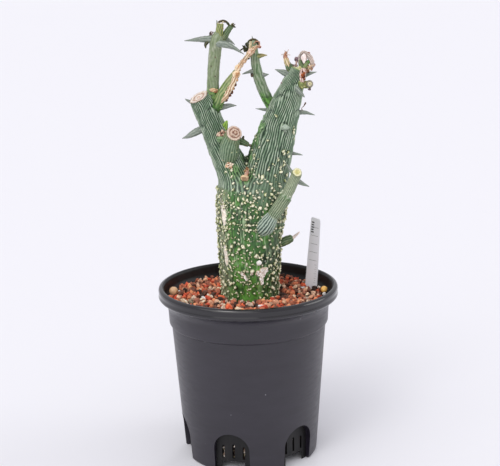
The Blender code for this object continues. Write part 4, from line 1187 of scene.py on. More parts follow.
def pebbles(count, detail):
    """Unit stones as (points, faces, shade), each broken flat in places, with pits, and painted shade in
    their hollows and pits.
    """
    points, faces = BALLS[detail]
    made = []
    for seed in range(count):
        rng = np.random.default_rng(seed)
        flats = rng.normal(0, 1, (8, 3))
        flats /= np.linalg.norm(flats, axis=1)[:, None]
        reach = np.min(rng.uniform(0.5, 0.95, 8) / np.maximum(points @ flats.T, 0.12), axis=1).clip(max=1.25)
        rough = 0.2 * noise(points + seed, 0.5, seed) + 0.13 * noise(points + seed, 0.25, seed + 5)
        pits = ramp(noise(points + seed, 0.3, seed + 9), 0.15, 0.6)
        # Painted shade: darker where the surface dips and in the pits.
        shade = np.clip(0.85 + 2.2 * rough, 0.6, 1.2) * (1 - 0.5 * pits)
        made.append((points * (reach + rough - 0.08 * pits)[:, None], faces, shade))
    return made


def fill_slits(shape, ready, tones, rng):
    """Grains that show through the drain slits."""
    for turn in map(math.radians, alcove_turns()):
        outwards, sideways = (math.sin(turn), -math.cos(turn)), (math.cos(turn), math.sin(turn))
        for slit in (-1, 0, 1):
            z = SLIT_BOTTOM_Z + 0.6
            while z < SLIT_TOP_Z - 1.6 * abs(slit) - 1.2:
                size = rng.uniform(0.8, 1.4)
                deep = ALCOVE_BACK - 1.0 - size * rng.uniform(0.9, 1.8)
                aside = slit * SLIT_SPACING + rng.uniform(-0.5, 0.5)
                place = [outwards[i] * deep + sideways[i] * aside for i in (0, 1)]
                points, faces, shade = ready[rng.integers(len(ready))]
                tone = rng.choice(tones[SLIT_TONES]) * rng.uniform(0.5, 1.1)
                shape.add(points * size + (*place, z), faces, tone * shade[:, None])
                z += size * rng.uniform(1.0, 1.7)


def grit_chances(x, y, common, red):
    """How likely each tone is at this place: the red ones lie in drifts, and more of them at the left."""
    reddish = float(noise(np.array([x, y, 0.0]), 24, 96)) + 0.3 * (x < 0)
    weights = common * np.where(red, max(0.1, 1 + 1.1 * reddish), 1)
    return weights / weights.sum()


def grit_painted_light(x, y):
    """How light the grit is painted at this place: painted light at the left and in front, and painted shadow
    of the trunk at the right back, round the label.
    """
    left, front = float(ramp(-x, 0, 40)), float(ramp(-y, 10, 50))
    return 1 + 0.12 * left - 0.25 * float(ramp(x, 10, 40) * ramp(y, -15, 15)) + 0.07 * front


def make_grit(material):
    """Two layers of single grains over a rough bed."""
    rng = np.random.default_rng(8)
    tones = np.array([colour(code) for code, _, _ in GRIT_TONES])
    common, red = np.array([row[1:] for row in GRIT_TONES], float).T
    layers = (
        # The lower layer's factor of 0.85 below is painted shade, as it lies under the upper grains.
        ("grit_lower", grains_over(rng, 5600, (1.1, 2.2), 0.72, SOIL_Z - 1.4), 0.85, pebbles(16, 1)),
        ("grit_upper", grains_over(rng, 4200, (1.6, 3.6), 0.76, SOIL_Z + 0.5), 1.0, pebbles(24, 2)),
    )
    for name, grains, light, ready in layers:
        shape = Shape()
        for x, y, z, size in grains:
            points, faces, shade = ready[rng.integers(len(ready))]
            axes = np.linalg.qr(rng.normal(0, 1, (3, 3)))[0]
            squash = size * 1.12 * np.array((1, rng.uniform(0.75, 1), rng.uniform(0.65, 0.9)))
            tone = rng.choice(tones, p=grit_chances(x, y, common, red))
            # Painted light at the left and front and painted shadow at the right back, by place, on a random
            # tone.
            tone = tone * light * grit_painted_light(x, y) * rng.uniform(1.0, 2.1)
            turned = points * squash @ axes
            # Painted shade: each grain darker on its lower side, under the light from above.
            shade = shade * (0.4 + 0.6 * ramp(turned[:, 2] / size, -0.5, 0.35))
            shape.add(turned + (x, y, z), faces, (tone * shade[:, None]).clip(max=0.9))
        if name == "grit_lower":
            fill_slits(shape, ready, tones, rng)
        shape.build(name, material, "grit", "potting_mix", crease=38)
    make_grit_bed(material)


def make_grit_bed(material):
    """The rough ground under the grains, a ring from the wall to under the trunk; its dark colour is painted
    shade for the gaps between the grains.
    """
    rings, sides = 60, 180
    turn = np.arange(sides) * TAU / sides
    reach = np.linspace(*BED_RADII, rings)
    flat = np.full((rings, sides), SOIL_Z - 2.6)
    points = np.stack([np.outer(reach, np.cos(turn)), np.outer(reach, np.sin(turn)), flat], axis=-1)
    points[..., 2] += 0.9 * noise(points, 3, 91) + 0.5 * noise(points, 1.5, 92)
    # Painted shade: the bed's dark browns stand for the shade deep in the gaps between the grains.
    dust = mix(colour("3a2620"), colour("6f4333"), ramp(noise(points, 3, 93), -0.4, 0.6))
    bed = Shape()
    bed.add(points, grid_faces(rings, sides)[:, ::-1], dust)
    bed.build("grit_bed", material, "grit", "potting_mix")


class Look:
    """How a stem is ribbed and coloured: crests, flanks and grooves, with blotches of a second green."""

    def __init__(self, crest, flank, groove, ribs, height, wander, blotch, amount, seed, foot=None):
        self.crest, self.flank, self.groove = colour(crest), colour(flank), colour(groove)
        self.blotch = colour(blotch)
        self.ribs, self.height, self.wander, self.amount, self.seed = ribs, height, wander, amount, seed
        self.foot = None if foot is None else colour(foot)

    def across(self, angle, points):
        """1 on a crest and 0 in a groove."""
        wave = self.wander * noise(points, (5, 5, 9), self.seed) + 0.12 * noise(points, 2.2, self.seed + 1)
        return 0.5 + 0.5 * np.cos(self.ribs * angle + TAU * wave)

    def relief(self, angle, points):
        swell = 0.25 * noise(points, 3.5, self.seed + 2) + 0.14 * noise(points, 1.2, self.seed + 3)
        return self.height * (self.across(angle, points) ** 1.4 - 0.5) + swell

    def paint(self, angle, points, share):
        across = self.across(angle, points)
        tone = mix(self.flank, self.crest, ramp(across, 0.5, 0.95))
        tone = mix(self.groove, tone, ramp(across, 0.0, 0.45))
        patch = ramp(fractal(points, 6, self.seed + 4), 0.0, 0.45)
        tone = mix(tone, self.blotch * (0.8 + 0.35 * across)[..., None], patch * self.amount)
        if self.foot is not None:
            low = ramp(share + 0.1 * noise(points, 4, self.seed + 6), 0.42, 0.16)
            mottle = 0.5 + 0.4 * across + 0.7 * noise(points, 1.8, self.seed + 7)
            mottle = mottle.clip(0.15, 1.3)
            tone = mix(tone, self.foot * mottle[..., None], low)
        return tone * (1 + 0.14 * noise(points, 1.5, self.seed + 5))[..., None]


MIDDLE = Look("98a68c", "718a64", "4d6842", 11, 0.16, 1.0, "8f9b80", 0.8, 101, "659c40")
TALL = Look("8b977a", "828f6c", "72805d", 12, 0.05, 0.8, "9ba08a", 0.8, 111, "6f944c")
WITHERING = Look("9fa674", "768c50", "4b6a33", 9, 0.15, 0.6, "989c70", 0.6, 121, "55853a")
DARK_GREEN = Look("7a8c62", "4c6640", "2a4026", 11, 0.25, 0.5, "8d9168", 0.4, 131)
YELLOW_GREEN = Look("a5a86c", "7f8a50", "4f5f34", 10, 0.2, 0.7, "b09a68", 0.6, 141)
SPINE = Look("9ca497", "818b7f", "5f6b60", 6, 0.08, 0.5, "8e8f8c", 0.5, 151)
DRIED = Look("9a765c", "634636", "2d1f1a", 7, 0.35, 0.7, "b89a7c", 0.5, 161)
STRAW = Look("f1e3ca", "dcc09d", "8f6a4c", 6, 0.35, 0.9, "c39a72", 0.6, 171)
TAN = Look("f0e2c4", "d8be94", "8d8f5c", 7, 0.3, 0.6, "c99a6c", 0.5, 175)
RUSTY = Look("e0b094", "b5744f", "5a3728", 7, 0.35, 0.7, "ecd2c0", 0.4, 176)
ROSY = Look("f0dcd4", "d2b0a2", "80594a", 8, 0.35, 0.7, "b98a74", 0.5, 181)
CREAM = Look("fbf2ea", "ead8cc", "b0907f", 8, 0.35, 0.7, "d8b8a8", 0.5, 182)
MAUVE = Look("dbcfc6", "b4a69d", "74645f", 8, 0.4, 0.7, "d0bbac", 0.5, 185)
DARK_BUD = Look("62633f", "3a3e2a", "1b1f1a", 6, 0.35, 0.7, "70563c", 0.5, 191)
BRANCH_FOOT = Look("b9c6b5", "72887a", "22372c", 17, 0.7, 0.15, "94a594", 0.4, 201)
BRANCH = Look("99a487", "6c7e61", "365030", 18, 0.45, 0.3, "909a7a", 0.4, 203)
BRANCH_TOP = Look("a9b194", "87947a", "5a6d4c", 20, 0.3, 0.3, "989f82", 0.5, 204)
BARREL = Look("8b9d80", "688062", "435e40", 22, 0.2, 0.25, "7c8456", 0.6, 211)
LIME = Look("b5cf62", "8bb444", "5a8f30", 5, 0.15, 0.5, "d6dc96", 0.6, 231)


def stalk(shape, stations, look, sides=32, step=0.5, flat=1.0, start=FRONT):
    tube(shape, stations, look.paint, sides, step, look.relief, flat, True, start)


def spine(shape, stations, look=SPINE, flat=0.8, start=(0, 0, 1)):
    """A leaf-like spine: swollen in the middle, faintly ribbed, with a fine dry point."""

    def paint(angle, points, share):
        return mix(look.paint(angle, points, share), colour("6d6152"), ramp(share, 0.85, 1.0))

    tube(shape, stations, paint, 14, 0.5, look.relief, flat, True, start)


def cut_face(shape, ring, along, bands, rough=0.2, seed=1, wander=0.06, shift=(0, 0, 0)):
    """Closes a ring with a cut end; bands are (share of the radius, lift, colour), from the rim inwards.

    The bands wander, and shift moves their middle."""
    centre = ring.mean(0)
    along = np.asarray(along, float) / np.linalg.norm(along)
    shares = np.concatenate([[1.0, 0.975], np.linspace(0.95, 0.03, 22)])
    table = np.array([(share, lift) for share, lift, _ in bands])[::-1]
    lift = np.interp(shares, table[:, 0], table[:, 1])
    middle = centre + np.asarray(shift, float) * (1 - shares[:, None, None])
    rings = middle + (ring - centre) * shares[:, None, None] + along * lift[:, None, None]
    uneven = noise(rings, 1.4, seed) * (shares < 0.99)[:, None]
    rings = rings + along * (rough * uneven)[..., None]
    share = shares[:, None] + wander * (noise(rings, 2.4, seed + 1) + 0.7 * noise(rings, 0.9, seed + 2))
    tones = np.array([colour(code) for _, _, code in bands])[::-1]
    paint = np.stack([np.interp(share, table[:, 0], tones[:, i]) for i in range(3)], axis=-1)
    paint = paint * (1 + 0.2 * noise(rings, 0.9, seed + 3))[..., None]
    shape.add(rings, grid_faces(len(shares), ring.shape[0]), paint)
    shape.close(ring.shape[0], bottom=False)


def cut_stalk(shape, stations, look, bands, sides, step, rough, seed, wander=0.06, shift=(0, 0, 0)):
    """A stalk that ends in a cut face."""
    ring = tube(shape, stations, look.paint, sides, step, look.relief, 1.0, False)
    path = path_of(stations, step)
    cut_face(shape, ring, path[-1, :3] - path[-2, :3], bands, rough, seed, wander, shift)


def bud(shape, centre, size, tone, spots, seed, detail=3, turn=None):
    """A scaly bud with darker spots, and painted shade where its surface dips."""

    def paint(points, swell):
        base = mix(colour(tone), colour(spots), ramp(noise(points + seed, 0.45, seed), 0.05, 0.45))
        # Painted shade: darker where the surface dips.
        return base * np.clip(0.5 + 0.95 * (swell - 0.5), 0.4, 1.2)[:, None]

    lump(shape, centre, size, paint, 0.35, detail, seed, turn)


def flakes(shape, centre, reach, count, tone, spots, seed, sizes=(0.6, 1.5)):
    """A crowd of small rough buds and flakes inside an ellipsoid."""
    rng = np.random.default_rng(seed)
    for i in range(count):
        way = rng.normal(0, 1, 3)
        place = np.array(centre) + way / np.linalg.norm(way) * reach * rng.uniform(0.2, 0.95)
        size = rng.uniform(*sizes) * np.array((1, rng.uniform(0.4, 1), rng.uniform(0.6, 1.1)))
        turn = Vector(rng.normal(0, 1, 3)).to_track_quat("Z", "Y")
        bud(shape, place, size, tone if rng.random() < 0.65 else spots, spots, seed + i, 2, turn)


def crumpled(shape, stations, look, seed, sides=16, flat=0.75, amount=0.3, start=FRONT):
    """A dried strand: flattened, creased and uneven."""

    def relief(angle, points):
        fold = noise(points, 1.1, seed) + 0.6 * noise(points, 0.5, seed + 1)
        return look.relief(angle, points) + amount * fold

    tube(shape, stations, look.paint, sides, 0.35, relief, flat, True, start)


def ribbon(shape, stations, look, seed, amount=0.6):
    """A dried strip that is wide as seen from the front, and thin."""
    crumpled(shape, stations, look, seed, 32, 0.42, amount, (1, 0, 0))


def tuft(shape, base, aim, count, reach, look, seed, thick=0.5):
    """A few short dried curls that spread from one place."""
    rng = np.random.default_rng(seed)
    base, aim = np.array(base, float), np.array(aim, float) / np.linalg.norm(aim)
    for _ in range(count):
        way = aim + rng.normal(0, 0.55, 3)
        way /= np.linalg.norm(way)
        bend = rng.normal(0, 0.5, 3)
        far = reach * rng.uniform(0.6, 1.0)
        rows = [
            (*(base + rng.normal(0, 0.3, 3)), thick * 1.3),
            (*(base + way * far * 0.45), thick),
            (*(base + (way + bend * 0.5) * far * 0.8), thick * rng.uniform(0.8, 1.7)),
            (*(base + (way + bend) * far), thick * 0.5),
        ]
        crumpled(shape, rows, look, int(rng.integers(1, 99)), 10, 0.7, 0.15)


def on_front(x, z, out=0.0):
    """The point of the main stems' skin seen from the front at this x and z, moved out by this much."""
    place, normal = onto_skin(from_front(x, z))
    return place[0] + normal[0] * out


def stem_spines():
    """The spines of the main stems, and the three small scales between them."""
    shape = Shape()
    for stations in STEM_SPINES:
        thin = max(row[3] for row in stations) < 1
        spine(shape, stations, DRIED if thin else SPINE)
    bud(shape, (33.6, 6, 341.8), 1.3, "8a7370", "4a3a38", 401, 2)
    bud(shape, (4.6, 1.5, 287.6), 1.5, "5b6a4c", "2c3328", 402, 2)
    bud(shape, on_front(34.6, 304.6, 0.6), (4.2, 1.8, 2.2), "a7b6a3", "8c9c88", 403)
    return shape


BRANCH_CUT = (
    (1.0, 0, "8f9468"), (0.93, 0.4, "cfcb98"), (0.8, 0.6, "e6e4c2"), (0.62, 0.5, "e0dbaa"),
    (0.45, 0.1, "c9bf7e"), (0.25, -0.1, "d2cc8a"), (0, -0.3, "b3a765"),
)
STUB_CUT = (
    (1.0, 0, "8f7365"), (0.95, 0.4, "c4ad9c"), (0.85, 0.6, "d6c5b3"), (0.76, 0.5, "c8af9c"),
    (0.68, 0.2, "a9826f"), (0.61, 0.0, "66402f"), (0.52, 0.3, "c0a48e"), (0.42, 0.4, "dac7b4"),
    (0.35, 0.1, "b58d77"), (0.28, -0.1, "5f3b2b"), (0.2, 0.0, "a88069"), (0.1, 0.1, "d0baa4"),
    (0.0, 0.0, "b89e87"),
)
TORN_CUT = (
    (1.0, 0, "a99a6a"), (0.85, 0.5, "f3e8c6"), (0.6, 0.1, "d9c48e"), (0.3, -0.8, "8f7a48"),
    (0, -1.2, "6a5a36"),
)
CROWN_STUB_CUT = (
    (1.0, 0, "4b463a"), (0.9, 0.4, "7d7766"), (0.74, 0.5, "9f9882"), (0.6, 0.4, "5f5a48"),
    (0.5, 0.3, "dcd5b0"), (0.22, 0.1, "c9c190"), (0.12, 0, "4a4432"), (0.0, -0.1, "3a3428"),
)


def make_basal_branch(green):
    """The ribbed side branch: a swollen foot, a lower part, a ring, and an upper part with a cut end."""
    growth = Shape()
    foot = (
        (12.4, -15.0, 214.0, 3.8), (14.2, -17.2, 215.4, 6.9), (16.4, -18.5, 217.9, 7.9),
        (18.8, -19.3, 221.2, 7.2), (21.2, -19.6, 224.8, 6.2), (22.2, -19.6, 226.4, 5.4),
    )
    lower = (
        (20.8, -19.4, 223.6, 4.9), (25.4, -19.2, 230.4, 5.6), (30.4, -18.2, 237.2, 5.5),
        (34.6, -17.3, 243.2, 5.4),
    )
    ring = ((33.9, -17.5, 242.0, 5.1), (34.8, -17.2, 243.4, 6.0), (35.7, -17.0, 244.7, 5.0))
    upper = (
        (35.0, -17.2, 243.8, 4.9), (38.9, -16.4, 251.4, 4.8), (41.8, -16.0, 257.4, 4.6),
        (43.8, -16.2, 261.6, 4.6), (44.8, -17.4, 264.6, 4.4), (45.2, -19.6, 266.4, 4.1),
    )
    stalk(growth, foot, BRANCH_FOOT, 110, 0.45)
    stalk(growth, lower, BRANCH, 100, 0.45)
    stalk(growth, ring, MIDDLE, 60, 0.4)
    cut_stalk(growth, upper, BRANCH_TOP, BRANCH_CUT, 90, 0.45, 0.25, 202)
    knobs = ((32.6, -15.6, 247.4, 2.2), (31.6, -17.0, 244.0, 1.6), (38.0, -20.6, 245.4, 1.2))
    for seed, (*place, size) in enumerate(knobs, 405):
        bud(growth, place, size, "cfd4bc", "9aa68a", seed)
    spine(growth, ((45.0, -14.5, 258.0, 2.6), (50.0, -15.0, 255.2, 1.7), (55.8, -15.5, 252.6, 0.3)))
    spine(growth, ((41.5, -14.0, 264.0, 1.6), (38.6, -13.0, 268.6, 1.3), (36.6, -12.0, 272.4, 0.3)))
    growth.build("basal_branch_stem", green, "green_skin", "basal_branch")


def make_low_stub(green, dry):
    growth = Shape()
    stalk(growth, ((28.0, 4, 195.4, 3.6), (35, 4, 198.6, 4.0), (39.8, 4, 200.8, 3.6)), DARK_GREEN)
    flakes(growth, (38, 3.2, 200.2), (4, 3.6, 3.6), 12, "a9ab86", "55623f", 411, (0.4, 0.8))
    growth.build("low_stub_stem", green, "dark_green_skin", "low_stub")
    growth = Shape()
    thread = ((40.6, 4, 200.8, 2.0), (43.2, 4, 202.6, 1.7), (45.4, 4, 204.4, 1.5), (47.6, 4, 206.6, 1.0))
    crumpled(growth, thread, CREAM, 3)
    growth.build("low_stub_dry_thread", dry, "dry_stem", "low_stub_thread")


def make_front_stub(green):
    """The thick ribbed stub on the left arm, whose cut end faces the viewer."""
    growth = Shape()
    stub = (
        (-16.4, 3.0, 274.6, 5.0), (-15.2, -2.4, 279.4, 7.9), (-14.4, -5.6, 284.6, 8.7),
        (-13.5, -8.2, 290.4, 8.5), (-11.8, -10.8, 296.0, 7.6), (-10.3, -12.8, 299.6, 6.9),
        (-9.4, -15.2, 301.2, 6.9),
    )
    cut_stalk(growth, stub, BARREL, STUB_CUT, 120, 0.45, 0.3, 212, 0.09, (1.1, 0, 0.7))
    for seed, place in enumerate(((-12.0, -14.0, 284.2), (-16.8, -10.6, 279.6), (-8.0, -11.4, 284.0)), 415):
        bud(growth, place, 0.8, "c9cf9a", "8f9a5c", seed, 2)
    growth.build("front_stub_stem", green, "green_skin", "front_stub")


def make_beside_front_stub(green, dry):
    """The woody stub, the fresh green sprout and the dark side stub round the front stub."""
    growth = Shape()
    bud(growth, (-21.2, -7.6, 294.6), (4.6, 4.4, 3.5), "7f9a72", "587550", 421)
    flakes(growth, (-20.8, -8.4, 299.6), (4.6, 2.4, 3.8), 36, "ecd2ba", "a07a64", 422, (0.9, 2.1))
    flakes(growth, (-16.0, -9.6, 299.2), (2.0, 1.6, 2.6), 9, "c9a68c", "7a5544", 450, (0.7, 1.4))
    bud(growth, (-20.2, -10.6, 300.2), (1.4, 0.9, 1.3), "4b332a", "241814", 470, 2)
    growth.build("woody_stub_bark", dry, "pale_cork", "woody_stub")

    growth = Shape()
    leaf = (
        (-16.4, 1.6, 301.6, 1.2), (-17.0, 0.8, 304.6, 1.8), (-16.6, 0.4, 307.8, 1.8),
        (-15.8, 0.2, 309.9, 1.0),
    )
    stalk(growth, leaf, LIME, 24, 0.4, 0.5, (1, 0, 0))
    stalk(growth, ((-16.6, 1, 302.6, 1.2), (-18.6, 0, 305.6, 1.3), (-19.4, -0.4, 307.6, 0.6)), LIME, 16, 0.4)
    growth.build("green_sprout_leaves", green, "bright_green_skin", "green_sprout")

    growth = Shape()
    stub = ((-9.6, -1, 293.6, 2.6), (-3.0, -3, 291.8, 3.1), (2.2, -4, 289.4, 2.2))
    stalk(growth, stub, DARK_GREEN, 28, 0.4)
    stalk(growth, ((-2.6, -3, 292.6, 1.5), (-1.4, -3, 296.6, 0.7)), DARK_BUD, 14, 0.4)
    flakes(growth, (-1.8, -4.6, 291.6), (4.2, 1.6, 3.0), 12, "a4a486", "4b4a38", 431, (0.4, 0.9))
    tuft(growth, (1.4, -4.6, 289.7), (1, -0.3, 0.3), 4, 2.8, DRIED, 31, 0.6)
    growth.build("side_stub_stem", green, "dark_green_skin", "side_stub")


def make_bud_clusters(dry):
    """The dried buds on the left arm below the front stub, and those in the fork."""
    growth = Shape()
    flakes(growth, on_front(-14.9, 272.3, 1.4), (4.4, 1.6, 4.6), 34, "fff4de", "d2aa88", 241, (0.6, 1.4))
    flakes(growth, on_front(-18.2, 276.4, 1.2), (2.0, 1.0, 2.2), 9, "f6ecd4", "c4a680", 242, (0.6, 1.1))
    growth.build("arm_buds", dry, "pale_cork", "arm_bud_cluster")
    growth = Shape()
    bud(growth, (-0.8, -11.4, 260.8), (3.5, 3.2, 3.1), "d9bd97", "94765a", 251)
    stem = ((-0.4, -11.4, 261.4, 2.4), (0.8, -10.6, 265.0, 2.3), (1.2, -9.6, 269.2, 1.5))
    crumpled(growth, stem, RUSTY, 252)
    flakes(growth, (0.6, -10.8, 267.0), (2.5, 1.6, 4.2), 24, "d9b184", "86603f", 253, (0.5, 1.2))
    growth.build("fork_buds", dry, "dry_stem", "fork_bud_cluster")


TALL_SPINES = (
    (
        (-25.0, 5, 381.6, 3.8), (-31.0, 4.8, 381.6, 3.2), (-36, 4.5, 381.6, 2.6), (-42, 4, 381.2, 1.7),
        (-51.2, 3.4, 380.6, 0.3),
    ),
    (
        (-24.0, 1.8, 377.6, 2.8), (-17.5, -0.8, 377.2, 3.1), (-11.6, -1.8, 375.8, 2.5),
        (-6.4, -2.2, 373.0, 1.5), (0.4, -2.6, 368.4, 0.3),
    ),
    ((-20.0, 8, 381.6, 2.4), (-14.0, 10.4, 381.0, 1.8), (-7.4, 12.4, 376.0, 0.3)),
    ((-21.6, 5.2, 387.0, 1.4), (-22.0, 5.4, 391.6, 1.2), (-22.6, 5.6, 397.4, 0.3)),
    ((-25.0, 9, 379.0, 2.2), (-26.4, 15.0, 379.4, 1.6), (-27.4, 21.0, 378.0, 0.3)),
)
TALL_MARKS = ((-25.2, 349.6, 0.6), (-28.4, 358.2, 0.5), (-24.6, 366.0, 0.6))  # (x, z, size)


def make_tall_shoot(green, dry):
    """The upright shoot on the left arm, and the dead remains over its two broken ends."""
    growth = Shape()
    stem = (
        (-25.6, 6, 321.0, 4.8), (-27.6, 5.4, 332.0, 5.5), (-27.2, 5, 345.0, 5.4), (-26.0, 5, 361.0, 5.3),
        (-24.2, 5, 375.0, 5.6), (-23.0, 5, 381.6, 5.6), (-22.0, 5, 385.6, 3.8),
    )
    stalk(growth, stem, TALL, 64, 0.6)
    torn = ((-21.4, 5, 382.0, 3.4), (-20.4, 5, 388.4, 3.3), (-19.6, 5, 394.6, 2.9))
    cut_stalk(growth, torn, YELLOW_GREEN, TORN_CUT, 40, 0.5, 0.8, 261)
    flakes(growth, (-18.4, 3.2, 390.2), (1.8, 1.0, 3.6), 9, "c9a05c", "6b4a2c", 262, (0.5, 0.9))
    stalk(growth, ((-19.0, 6, 380.0, 2.9), (-14.4, 6.6, 386.4, 2.9), (-10.6, 7.4, 391.6, 2.3)), DARK_GREEN)
    for stations in TALL_SPINES:
        spine(growth, stations)
    hook = ((-31.2, 4.6, 379.6, 1.7), (-33.0, 4.4, 377.0, 1.4), (-32.8, 4.2, 373.8, 0.4))
    stalk(growth, hook, DARK_BUD, 16)
    flakes(growth, (-27.6, 4.6, 386.4), (1.8, 1.5, 2.0), 9, "a8968c", "54423c", 263, (0.6, 1.2))
    for seed, (x, z, size) in enumerate(TALL_MARKS, 480):
        bud(growth, (x, 0.1, z), (size, 0.6, size * 1.8), "5f4f3c", "332a22", seed, 2)
    bud(growth, (-26.9, 0.0, 337.8), (3.6, 1.3, 1.5), "e9c9a0", "a8784f", 264)
    bud(growth, (-24.9, -0.2, 336.2), (2.2, 1.2, 1.0), "b5834f", "7d5034", 265)
    growth.build("tall_shoot_stem", green, "green_skin", "tall_shoot")
    growth = Shape()
    cap = (
        (-20.6, 4.4, 396.0, 1.2), (-17.8, 4.6, 397.0, 1.2), (-14.8, 5.4, 396.4, 1.2),
        (-12.6, 6.4, 394.0, 1.3), (-11.4, 7.2, 391.6, 1.0),
    )
    crumpled(growth, cap, DARK_BUD, 5)
    flakes(growth, (-17.2, 4.4, 396.4), (3.2, 1.2, 1.0), 8, "e6dcb8", "5f4b38", 266, (0.4, 0.9))
    tuft(growth, (-11.0, 7.2, 391.4), (0.9, -0.1, 0.6), 7, 4.6, DARK_BUD, 42, 0.75)
    flakes(growth, (-9.6, 6.8, 392.6), (2.6, 1.6, 2.2), 12, "8c8a5e", "2f2b22", 267, (0.5, 1.0))
    growth.build("tall_shoot_tendrils", dry, "dark_bark", "tall_shoot_dried_tip")


DARK_SHRED = ((1.5, 1.0, 1.9), "6b4430")
PALE_SHRED = ((1.2, 0.9, 1.5), "d9a878")
SHREDS = (  # along the bark's torn edge: (x, z, kind)
    (-16.2, 328.8, DARK_SHRED),
    (-14.6, 331.2, PALE_SHRED),
    (-12.8, 333.4, DARK_SHRED),
    (-11.0, 336.0, DARK_SHRED),
    (-9.4, 339.0, PALE_SHRED),
    (-7.6, 342.4, DARK_SHRED),
    (-6.0, 346.0, PALE_SHRED),
)


def make_withered_shoot(green, dry):
    """The shoot beside the tall one, the bark that peels off it, and its dead upper part."""
    growth = Shape()
    stem = (
        (-26.0, 1.6, 319.0, 4.2), (-22.2, 0.4, 328.6, 4.9), (-16.8, 1, 337.6, 4.7), (-11.4, 2, 345.4, 4.4),
        (-6.6, 3, 351.6, 3.8),
    )
    stalk(growth, stem, WITHERING, 48, 0.5)
    flakes(growth, (-22.6, -2.6, 323.6), (3.6, 1.4, 3.4), 14, "86a356", "42602c", 268, (0.7, 1.4))
    growth.build("withered_shoot_stem", green, "green_skin", "withered_shoot")
    growth = Shape()
    bark = (
        (-20.0, -3.4, 327.6, 1.4), (-16.8, -3.7, 331.4, 2.2), (-11.8, -3.2, 339.2, 2.3),
        (-8.4, -2.2, 346.0, 2.2), (-6.0, -0.8, 352.0, 2.6),
    )
    ribbon(growth, bark, STRAW, 7)
    for seed, (x, z, (size, tone)) in enumerate(SHREDS, 270):
        bud(growth, (x, -3.2 + 0.08 * (z - 328), z), size, tone, "3f281d", seed, 2)
    bud(growth, (-6.6, -0.4, 350.6), (3.3, 2.8, 3.6), "ecd3b0", "c4956a", 279)
    flakes(growth, (-6.6, -1.0, 351.4), (3.6, 2.6, 3.8), 20, "f3e2c4", "c08f64", 280, (0.7, 1.7))
    growth.build("withered_shoot_bark", dry, "pale_cork", "withered_bark")
    growth = Shape()
    stem = (
        (-7.6, 2.4, 350.8, 3.0), (-5.4, 3.2, 354.8, 3.0), (-1.6, 4.2, 360.2, 2.2), (2.8, 5.4, 365.2, 2.2),
        (6.4, 6.4, 369.4, 2.6), (9.4, 7.2, 372.4, 2.1), (11.8, 8.0, 374.8, 1.4),
    )
    crumpled(growth, stem, STRAW, 9, 28, 0.85, 0.8)
    bud(growth, (-5.2, 2.8, 356.2), (2.6, 2.2, 3.0), "f0d6b2", "cb9560", 281)
    bud(growth, (0.6, 4.4, 362.6), (2.2, 1.9, 2.6), "e8c8a4", "b97f58", 282)
    bud(growth, (6.6, 6.0, 369.8), (2.9, 2.2, 2.7), "ecd0bc", "c08a6c", 283)
    loop = (
        (9.6, 7.0, 372.8, 1.3), (13.2, 7.6, 374.0, 1.1), (14.2, 8.2, 377.2, 0.9), (11.4, 8.4, 378.4, 0.9),
        (9.2, 8.2, 376.4, 0.7),
    )
    crumpled(growth, loop, RUSTY, 284, 12)
    flakes(growth, (15.2, 8.0, 374.4), (2.4, 1.2, 2.0), 12, "dcae9c", "7f5044", 285, (0.5, 1.0))
    flakes(growth, (12.0, 8.0, 377.8), (2.2, 1.2, 1.2), 8, "6a5240", "2f241c", 286, (0.5, 1.0))
    growth.build("withered_shoot_dry_stem", dry, "dry_stem", "withered_stem")


MIDDLE_SPINES = (
    ((10.4, 15, 352.2, 2.3), (5.4, 14, 352.0, 1.6), (-1.4, 13, 350.0, 0.3)),
    ((15.0, 15, 348.8, 2.5), (18.8, 14, 348.8, 1.8), (22.2, 13, 349.4, 0.3)),
    ((12.0, 18, 349.0, 2.2), (12.0, 24, 349.6, 1.6), (12.0, 30, 348.0, 0.3)),
    ((8.6, 17, 377.0, 1.2), (8.4, 17, 380.0, 0.9), (8.0, 17, 383.0, 0.3)),
)
MIDDLE_BUDS = ((3.6, 375.6, 1.7), (2.0, 371.2, 1.9), (3.8, 367.4, 1.7), (2.0, 364.6, 1.3))  # (x, z, size)


